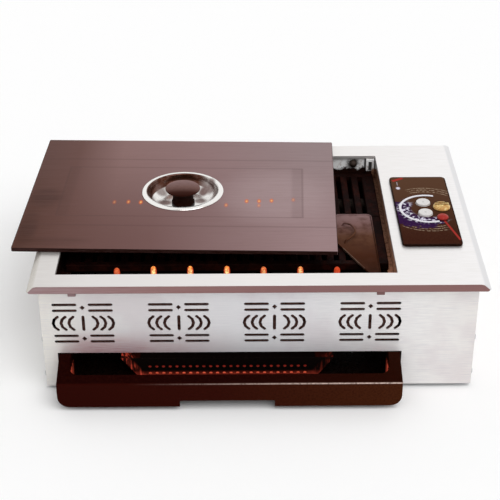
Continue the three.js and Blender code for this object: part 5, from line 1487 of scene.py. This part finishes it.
@dataclass
class FirePit:
    """The liner, grates, plate, burners and their flames. Sizes are in millimetres."""

    sheet_edge: float = 0.25
    iron_edge: float = 1.4
    pipe_edge: float = 0.2
    small_edge: float = 0.3
    lip: float = 8.2
    wall: float = 1.2
    soot_level: float = 125.0
    rest_inset: float = 9.5
    sensor_stem: Point = (2.5, 10.3)
    sensor_collar: float = 13.0
    ports: int = 7
    port_pitch: float = 44.6
    port_row_middle: float = -38.0
    flame_top: float = 127.6
    flame_radius: float = 3.8
    flame_gap: float = 0.3
    rear_flame_height: float = 11.0
    flame_shares: tuple[float, ...] = (0.97, 1.04, 1.04, 1.03, 0.98, 0.98, 0.96)
    flame_cores: tuple[float, ...] = (0.4, 1.0, 1.0, 0.95, 0.65, 0.85, 0.1)

    def build(self) -> None:
        """Makes every piece in the pit."""
        self.liner()
        for node in ("grate_rear", "grate_front"):
            eased(node, IRON, self.iron_edge, 3)
        self.plate()
        for node in ("burner_front", "burner_rear", "mixing_tube_front", "mixing_tube_rear"):
            eased(node, BURNT_STEEL, self.pipe_edge)
        self.sensor()
        eased("spark_electrode", CERAMIC, self.small_edge)
        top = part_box("burner_front")[1].z / MM
        self.flames("front", self.flame_top - top, 1.1)
        self.flames("rear", self.rear_flame_height, 1.0)

    def liner(self) -> None:
        """Dresses the pit's liner, bright above the rear grate and sooted elsewhere."""
        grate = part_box("grate_rear")[1]
        low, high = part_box("firebox")
        sensor = middle("flame_sensor")
        lip = self.lip * MM
        # Steel sheet, sooted and dull; the outside of its front is mauve brown and shows through the
        # vents.
        # A painted highlight lies along the ledge, and painted shade behind and beside the lid rest.
        finish = PitLiner(
            "fire_pit_liner", "#1c0c08", "#2c140d",
            roughness=0.5, grain=4.0, specular=0.06,
            rear=grate.y - 8 * MM,
            front=low.y + lip - self.wall * MM,
            level=self.soot_level * MM,
            ledge=(grate.x - 1 * MM, grate.x + 8 * MM),
            sensor=(sensor.x, sensor.z),
            rest=high.x - lip - self.rest_inset * MM,
            back=high.y - lip,
        )
        eased("firebox", finish, self.sheet_edge)

    def plate(self) -> None:
        """Dresses the plate that lies on the front grate."""
        low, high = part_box("resting_plate")
        slant = ((low.x + 7 * MM, low.y + 67 * MM), (low.x + 30 * MM, low.y + 18 * MM))
        # Steel sheet, browned and blued by heat: mauve to the rear, brown to the front, with a painted
        # highlight along its slanted edge.
        finish = RestedPlate(
            "browned_steel_plate", "#5a4038", "#47291e",
            roughness=0.5, grain=14.0, relief=0.03, gloss_drift=0.08, specular=0.02, axis=Axis.DEEP,
            stops=(
                (low.y, "#261005"),
                (low.y + 50 * MM, "#421f0c"),
                (high.y - 55 * MM, "#62402f"),
                (high.y - 22 * MM, "#80605d"),
                (high.y, "#8d7170"),
            ),
            slant=slant,
        )
        eased("resting_plate", finish, self.small_edge)

    def sensor(self) -> None:
        """Turns the flame sensor with its rounded head, lying along Y."""
        width, length, _ = size("flame_sensor")
        radius = width / 2
        stem, step = self.sensor_stem
        profile = [(0, 0), (stem, 0), (stem, step), (radius, step), (radius, self.sensor_collar)]
        profile += [(radius * 0.93, length - 2.6), (radius * 0.7, length - 0.9)]
        profile += [(radius * 0.3, length), (0, length)]
        bm = turned(profile, Vector(), 48)
        round_edges(bm, self.small_edge)
        at = middle("flame_sensor")
        lay_down(bm, 90, "X", Vector((at.x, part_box("flame_sensor")[1].y, at.z)))
        publish("turned_flame_sensor", bm, BURNT_STEEL, ["flame_sensor"])

    def flames(self, row: str, height: float, strength: float) -> None:
        """Stands a flame on each port of a burner.

        Args:
            row: Which burner, front or rear.
            height: How tall the flames are, in millimetres.
            strength: How brightly they shine.
        """
        burner = "burner_" + row
        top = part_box(burner)[1].z + self.flame_gap * MM
        reach = height * MM
        first = self.port_row_middle - (self.ports - 1) / 2 * self.port_pitch
        finish = FlameRow(
            "gas_flame_" + row,
            (
                (top, "#2c2a6a"),
                (top + reach * 0.3, "#c8431c"),
                (top + reach * 0.6, "#f2a848"),
                (top + reach * 0.82, "#ffe29a"),
                (top + reach, "#ee9a48"),
            ),
            strength,
            patch=2.4,
            first=first * MM,
            pitch=self.port_pitch * MM,
            half_width=self.flame_radius,
            cores=self.flame_cores,
        )
        outline = [(0.0, 0.0), (0.4, 0.02), (0.66, 0.14), (0.9, 0.4), (1.0, 0.66)]
        outline += [(0.98, 0.82), (0.84, 0.92), (0.5, 0.98), (0.0, 1.0)]
        for index, share in enumerate(self.flame_shares):
            x = first + index * self.port_pitch
            profile = [(radius * self.flame_radius, rise * height * share) for radius, rise in outline]
            bm = turned(profile, Vector((x * MM, middle(burner).y, top)), 16)
            publish(f"flame_{row}_{index + 1}", bm, finish, [], "housing")


@dataclass
class Lid:
    """The loose lid with its chromed cup and mushroom knob. Sizes are in millimetres."""

    turn: float = math.radians(-1.9)
    plate_edge: float = 0.35
    screw_hole: float = 2.7
    cup_radius: float = 53.0
    cup_rim: float = 5.5
    cup_rim_height: float = 1.8
    cup_wall: float = 1.2
    cup_floor: float = 26.0
    bowl_steps: int = 14
    knob_radius: float = 22.7
    knob_crown: float = 3.0
    knob_neck: float = 13.5
    knob_collar: Point = (15.0, 2.4)
    screw_head: Point = (7.0, 2.0)
    screw_shank: float = 2.4
    screw_edge: float = 0.3

    def build(self) -> None:
        """Makes the lid's four pieces."""
        centre = middle("lid_cup")
        # Aluminium plate under a satin mauve print: soft, streaked, with a dark cut edge. Its dark left
        # front, pale right and orange glints are painted shade, highlight and reflections.
        printed = LidPrint(
            "satin_printed_lid", "#6b4f4c", "#705452",
            roughness=0.45, grain=0.5, lay=Lay.ALONG_X, relief=0.0, gloss_drift=0.02, specular=0.05,
            centre=(centre.x, centre.y), turn=self.turn,
            # Painted glints: small orange reflections on the lid.
            glints=(
                (-86, -31, 0.3),
                (-68, -30, 0.6),
                (-52, -30.5, 0.9),
                (58, -36, 0.45),
                (84, -25, 0.75),
                (100, -24.5, 0.8),
                (100, -36, 0.35),
                (116, -23, 0.8),
                (144, -20, 0.3),
            ),
        )
        eased("lid_plate", printed, self.plate_edge)
        self.cup()
        self.knob()
        self.screw()

    def cup(self) -> None:
        """Turns the cup: a rolled rim on the lid and a bowl through it."""
        depth = size("lid_cup").z
        hole = self.screw_hole
        wall = self.cup_radius - self.cup_rim
        rim = depth - self.cup_rim_height
        reach = wall - self.cup_wall - self.cup_floor
        outer, inner = [], []
        for step in range(self.bowl_steps + 1):
            angle = step / self.bowl_steps * math.pi / 2
            out, rise = math.sin(angle), 1 - math.cos(angle)
            outer.append((self.cup_floor + (wall - self.cup_floor) * out, rim * rise))
            inner.append((self.cup_floor + reach * out, self.cup_wall + (depth - self.cup_wall) * rise))
        profile = [(hole, 0), *outer, (self.cup_radius, rim), (self.cup_radius, rim + 0.6)]
        profile += [(self.cup_radius - 1.2, rim + 1.5), (self.cup_radius - self.cup_rim / 2, depth)]
        profile += [*reversed(inner), (hole, self.cup_wall), (hole, 0)]
        centre = base("lid_cup")
        bm = turned(profile, centre, 96)
        # Chrome on pressed steel: a mirror, browned by painted reflection and shade where the wall is
        # steep, with patches of painted shade on its floor.
        chrome = CupChrome(
            "polished_chrome", "#f1efec", "#e6e2dd",
            roughness=0.2, metallic=0.8, grain=6.0, relief=0.0, gloss_drift=0.03,
            centre=(centre.x, centre.y),
            # Patches of painted shade.
            patches=(
                (-30.0, 23.0, 12.0, 10.0, 0.75),
                (-24.0, 0.0, 14.0, 10.0, 0.95),
                (26.0, 25.0, 10.0, 12.0, 0.95),
                (22.0, 4.0, 12.0, 9.0, 0.85),
                (36.0, 24.0, 8.0, 12.0, 0.8),
                (30.0, -4.0, 15.0, 17.0, 0.06),
            ),
        )
        publish("chromed_lid_cup", bm, chrome, ["lid_cup"])

    def knob(self) -> None:
        """Turns the knob: collar, stout neck and a flat cap with a rolled edge."""
        tall = size("lid_knob").z
        edge = tall - self.knob_crown
        hole, neck, cap = self.screw_hole, self.knob_neck, self.knob_radius
        collar, step = self.knob_collar
        profile = [(0, 1.0), (hole, 1.0), (hole, 0), (collar, 0), (collar, step)]
        profile += [(collar - 0.4, step + 0.8), (neck + 0.1, step + 3.0), (neck, step + 4.6)]
        profile += [(neck, edge - 6.2), (neck + 0.9, edge - 4.6), (cap - 4.5, edge - 1.9)]
        profile += [(cap - 0.8, edge - 1.3), (cap - 0.2, edge - 0.6), *dome(cap, edge, tall)]
        centre = base("lid_knob")
        bm = turned(profile, centre, 72)
        # Phenolic moulding, buffed: painted reflection makes the rear of the cap soft mauve brown, and
        # painted shade makes its front and the neck below near black.
        phenolic = KnobPhenolic(
            "buffed_phenolic", "#4a302c", "#2e1510",
            roughness=0.42, grain=4.0, relief=0.0, gloss_drift=0.05, specular=0.03, axis=Axis.DEEP,
            # Painted shade at the front of the cap, painted reflection towards the rear.
            stops=(
                (centre.y - 22 * MM, "#260b05"),
                (centre.y - 14 * MM, "#361811"),
                (centre.y - 4 * MM, "#684b45"),
                (centre.y + 8 * MM, "#7b5f5c"),
                (centre.y + 22 * MM, "#8a6e6c"),
            ),
        )
        publish("turned_lid_knob", bm, phenolic, ["lid_knob"])

    def screw(self) -> None:
        """Turns the screw below the cup."""
        length = size("lid_knob_screw").z
        head, shoulder = self.screw_head
        shank = self.screw_shank
        profile = [(0, 0), (head - 1.8, 0), (head, 1.2), (head, shoulder), (shank, shoulder)]
        profile += [(shank, length), (0, length)]
        bm = turned(profile, base("lid_knob_screw"), 40)
        round_edges(bm, self.screw_edge)
        publish("turned_lid_knob_screw", bm, ZINC_FASTENER, ["lid_knob_screw"])


@dataclass
class ControlPanel:
    """The printed panel, its dial band, buttons, knob and lamp. Sizes are in millimetres."""

    film_edge: float = 0.6
    knob_edge: float = 1.1
    band_edge: float = 0.2
    spindle_edge: float = 0.2
    board_edge: float = 0.15
    button_edge: float = 0.3
    lamp_height: float = 5.0
    lamp_rim: float = 1.7
    lamp_stem: float = 4.6
    button_cap: float = 9.0
    button_shoulder: float = 10.6
    button_stem: float = 3.0
    button_above: float = 3.0
    button_dish: float = 0.7

    def build(self) -> None:
        """Makes every piece on the panel and the board below it."""
        self.film()
        eased("dial_band", WHITE_ABS, self.band_edge)
        for node in ("ignite_button", "stop_button"):
            self.button(node)
        eased("flame_knob", AMBER, self.knob_edge, 3)
        self.lamp()
        eased("valve_spindle", BRASS, self.spindle_edge)
        eased("circuit_board", LAMINATE, self.board_edge)

    def film(self) -> None:
        """Lays the printed film over the panel's casing."""
        low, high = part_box("control_panel")
        band_low, band_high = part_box("dial_band")
        reach = (band_high.y - band_low.y) / 2
        lamp = middle("pilot_lamp")
        # Polyester film, printed on its back: brown, semi-gloss, with crisp marks.
        printed = DialPrint(
            "printed_control_film", "#361509", "#563a29",
            roughness=0.45, grain=1.6, relief=0.003, gloss_drift=0.05, specular=0.01,
            low=(low.x, low.y), high=(high.x, high.y), lamp=(lamp.x, lamp.y),
            centre=(band_low.x + reach, (band_low.y + band_high.y) / 2), reach=reach / MM,
        )
        eased("control_panel", printed, self.film_edge, 3)

    def button(self, node: str) -> None:
        """Turns a push button with a dished, marked top.

        Args:
            node: The button's CAD node.
        """
        tall = size(node).z
        top = tall - self.button_above
        shoulder, rim = self.button_shoulder, self.button_cap
        profile = [(0, 0), (self.button_stem, 0), (self.button_stem, top - 1.5), (shoulder, top - 1.5)]
        profile += [(shoulder, top), (rim, top), (rim, tall - 0.7), (rim - 0.9, tall), (6.5, tall - 0.2)]
        profile += [(3.0, tall - 0.6), (0, tall - self.button_dish)]
        centre = base(node)
        bm = turned(profile, centre, 56)
        round_edges(bm, self.button_edge)
        # ABS, moulded in a polished tool: white, with a small pad-printed mark.
        cap = MarkedCap(
            "white_abs_" + node, "#dcd9d7", "#d4d0ce",
            roughness=0.3, centre=(centre.x, centre.y),
        )
        publish("turned_" + node, bm, cap, [node])

    def lamp(self) -> None:
        """Turns the pilot lamp's domed lens on its stem."""
        width, _, tall = size("pilot_lamp")
        radius = width / 2
        rim = tall - self.lamp_height
        stem = self.lamp_stem
        profile = [(0, 0), (stem, 0), (stem, rim), (radius, rim), *dome(radius, rim + self.lamp_rim, tall)]
        bm = turned(profile, base("pilot_lamp"), 48)
        publish("domed_pilot_lamp", bm, RED_LENS, ["pilot_lamp"])


@dataclass
class GasTrain:
    """What lies in the control bay, out of sight, and the hose nipple. Sizes are in millimetres."""

    edge: float = 0.25
    shield_edge: float = 0.2
    module_edge: float = 0.5
    battery_edge: float = 0.4

    def build(self) -> None:
        """Makes each piece from its CAD node."""
        brass = ("gas_valve", "inlet_nut", "injector_front", "injector_rear", "inlet_pipe", "hose_nipple")
        for node in brass:
            eased(node, BRASS, self.edge)
        eased("gas_rail", ZINC_FASTENER, self.edge)
        eased("heat_shield", ZINC, self.shield_edge)
        eased("igniter_module", ABS_CASE, self.module_edge)
        eased("battery_box", ABS_CASE, self.battery_edge)


@dataclass
class Drawer:
    """The drawer, its pans, and the embers glowing in the tray. Sizes are in millimetres."""

    sheet_edge: float = 0.3
    pan_edge: float = 0.35
    pan_inset: float = 5.0
    runner_edge: float = 0.2
    tray_edge: float = 0.25
    face_height: float = 32.5
    tray_splay: float = 20.0
    tray_wall: float = 2.5
    tray_gap: float = 3.0
    ember_height: float = 20.0
    ember_roughness: float = 5.0
    ember_lump: float = 9.0
    ember_cuts: int = 24

    def build(self) -> None:
        """Makes the drawer's pieces and the runners it slides on."""
        self.casing()
        self.pan()
        self.tray()
        for node in ("runner_left", "runner_right"):
            eased(node, ZINC, self.runner_edge)
        self.embers()

    def casing(self) -> None:
        """Dresses the drawer's frame."""
        low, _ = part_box("drawer_frame")
        # Vitreous enamel on pressed steel: very dark red brown, warmer to the right, with painted shade on
        # the slope and a painted highlight along the face's top edge.
        enamel = DrawerEnamel(
            "brown_drawer_enamel", "#2a0d07", "#260904",
            roughness=0.4, grain=2.5, relief=0.03, gloss_drift=0.05, specular=0.01,
            stops=((-0.24, "#2a0704"), (-0.05, "#300c06"), (0.17, "#42200f")), front=low.y,
            edge=low.z + self.face_height * MM,
        )
        eased("drawer_frame", enamel, self.sheet_edge)

    def pan(self) -> None:
        """Dresses the water pan."""
        low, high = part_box("water_pan")
        inset = self.pan_inset * MM
        # Vitreous enamel, near black, pooled a little at the edges; a painted glow stands for the embers'
        # red light in streaks up its front corners.
        enamel = EmberLitEnamel(
            "black_pan_enamel", "#0a0403", "#160906",
            roughness=0.3, grain=5.0, relief=0.05, specular=0.08, glow="#a8402e",
            corners=((low.x + inset, low.y + 3 * inset), (high.x - inset, low.y + 3 * inset)),
        )
        eased("water_pan", enamel, self.pan_edge)

    def tray(self) -> None:
        """Dresses the perforated tray."""
        low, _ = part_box("perforated_tray")
        # Mild steel in the heat: black scale with a dull red where it is hottest.
        finish = HotTray(
            "glowing_scaled_steel", "#0b0504", "#180a07",
            roughness=0.6, grain=3.0, relief=0.05, specular=0.1, glow="#b5402f",
            centre=middle("perforated_tray").x, front=low.y, foot=low.z,
        )
        eased("perforated_tray", finish, self.tray_edge)

    def embers(self) -> None:
        """Fills the tray with a lumpy bed that glows red below and is ash dark on top."""
        inside = size("perforated_tray") * MM
        foot = base("perforated_tray") + Vector((0.0, 0.0, self.tray_wall * MM))
        width = inside.x - 2 * (self.tray_splay + self.tray_wall) * MM
        depth = inside.y - 2 * (self.tray_wall + self.tray_gap) * MM
        span = Vector((width, depth, self.ember_height * MM))
        bm = bmesh.new()
        bmesh.ops.create_cube(bm, size=1.0)
        bmesh.ops.subdivide_edges(bm, edges=bm.edges, cuts=self.ember_cuts, use_grid_fill=True)
        bmesh.ops.scale(bm, vec=span, verts=bm.verts)
        bmesh.ops.translate(bm, vec=foot + Vector((0.0, 0.0, span.z / 2)), verts=bm.verts)
        floor = foot.z
        for vert in bm.verts:
            share = (vert.co.z - floor) / span.z
            lump = noise.noise(vert.co / (self.ember_lump * MM))
            vert.co.z += lump * self.ember_roughness * MM * share
        stops = ((floor, "#d0583c"), (floor + span.z * 0.3, "#a83a2a"), (floor + span.z * 0.5, "#7c241b"))
        stops += ((floor + span.z * 0.85, "#140706"),)
        fade = (floor + span.z * 0.5, floor + span.z * 0.85)
        finish = Glow("glowing_embers", stops, strength=1.0, patch=5.0, fade=fade)
        publish("ember_bed", bm, finish, [], "drawer")


@dataclass
class Studio:
    """A pale floor, soft light and the camera at the photograph's angle.

    The camera's place is in millimetres and its turns are in radians; the lamp's are in degrees.
    """

    camera_place: tuple[float, float, float] = (-12.755, -1466.01, 955.659)
    yaw: float = 0.00211
    pitch: float = 0.53589
    roll: float = -0.00466
    focal_pixels: float = 1307.79
    picture_pixels: float = 500.0
    sensor: float = 36.0
    floor_size: float = 12.0
    floor_gap: float = 0.2
    soft_light: float = 0.62
    key_energy: float = 1.42
    key_spread: float = 50.0
    key_turn: Point = (28.0, 22.0)
    shaded_side: tuple[float, float, float] = (0.33, -0.44, 0.83)
    shaded_colour: str = "#6b4838"
    shaded_edge: Point = (0.7, 0.92)

    def build(self) -> None:
        """Sets the stage."""
        self.camera()
        self.floor()
        self.world()
        self.key_light()
        bpy.context.scene.view_settings.view_transform = "Standard"

    def camera(self) -> None:
        """Places the camera where the photograph was taken from."""
        data = bpy.data.cameras.new("camera")
        data.sensor_width = self.sensor
        data.lens = self.focal_pixels / self.picture_pixels * self.sensor
        camera = bpy.data.objects.new("camera", data)
        bpy.context.scene.collection.objects.link(camera)
        level = Vector((math.cos(self.yaw), -math.sin(self.yaw), 0.0))
        ahead = Vector((math.sin(self.yaw), math.cos(self.yaw), 0.0))
        forward = math.cos(self.pitch) * ahead - math.sin(self.pitch) * Vector((0.0, 0.0, 1.0))
        upright = level.cross(forward)
        right = math.cos(self.roll) * level + math.sin(self.roll) * upright
        up = math.cos(self.roll) * upright - math.sin(self.roll) * level
        turn = Matrix((right, up, -forward)).transposed().to_4x4()
        camera.matrix_world = Matrix.Translation(Vector(self.camera_place) * MM) @ turn
        bpy.context.scene.camera = camera

    def floor(self) -> None:
        """Lays a matt white floor under the feet."""
        bm = bmesh.new()
        bmesh.ops.create_grid(bm, x_segments=1, y_segments=1, size=self.floor_size / 2)
        bmesh.ops.translate(bm, verts=bm.verts, vec=(0.0, 0.0, cad_box[0].z - self.floor_gap * MM))
        mesh = bpy.data.meshes.new("floor")
        bm.to_mesh(mesh)
        bm.free()
        floor = bpy.data.objects.new("floor", mesh)
        bpy.context.scene.collection.objects.link(floor)
        material = bpy.data.materials.new("matt_white_floor")
        material.use_nodes = True
        settings = material.node_tree.nodes["Principled BSDF"].inputs
        settings["Base Color"].default_value = linear("#ffffff")
        settings["Roughness"].default_value = 1.0
        settings["Specular IOR Level"].default_value = 0.0
        mesh.materials.append(material)

    def world(self) -> None:
        """Lights the room softly; the camera, metal and glass see it white, with a dark side overhead."""
        world = bpy.data.worlds.new("soft_room")
        bpy.context.scene.world = world
        world.use_nodes = True
        tree = world.node_tree
        tree.nodes.clear()
        rays = add_node(tree, "ShaderNodeLightPath").outputs
        sky = Place(tree, add_node(tree, "ShaderNodeTexCoord").outputs["Generated"])
        glossy = rays["Is Glossy Ray"]
        seen = sky.row(Work.LARGER, rays["Is Camera Ray"], rays["Is Transmission Ray"], glossy)
        strength = sky.add(Work.FADE, seen, 0.0, 1.0, self.soft_light, 1.0)
        dot = {"operation": "DOT_PRODUCT", 1: self.shaded_side}
        toward = add_node(tree, "ShaderNodeVectorMath", dot, {0: sky.where}).outputs["Value"]
        dark = sky.add(Work.FADE, toward, *self.shaded_edge, 0.0, 1.0)
        colour = sky.add(Work.BLEND, sky.add(Work.PRODUCT, dark, glossy), "#ffffff", self.shaded_colour)
        light = {"Color": colour, "Strength": strength}
        ground = add_node(tree, "ShaderNodeBackground", links=light).outputs[0]
        add_node(tree, "ShaderNodeOutputWorld", links={"Surface": ground})

    def key_light(self) -> None:
        """Hangs one broad lamp above the right front."""
        data = bpy.data.lights.new("key", "SUN")
        data.energy = self.key_energy
        data.angle = math.radians(self.key_spread)
        lamp = bpy.data.objects.new("key", data)
        bpy.context.scene.collection.objects.link(lamp)
        lamp.rotation_euler = (*map(math.radians, self.key_turn), 0.0)


def main() -> None:
    """Builds the studio and each sub-assembly of the grill in turn."""
    logging.basicConfig(level=logging.INFO, format="%(name)s %(message)s")
    Studio().build()
    for assembly in (Housing(), FirePit(), Lid(), ControlPanel(), GasTrain(), Drawer()):
        log.info("building %s", type(assembly).__name__)
        assembly.build()


if __name__ == "__main__":
    main()
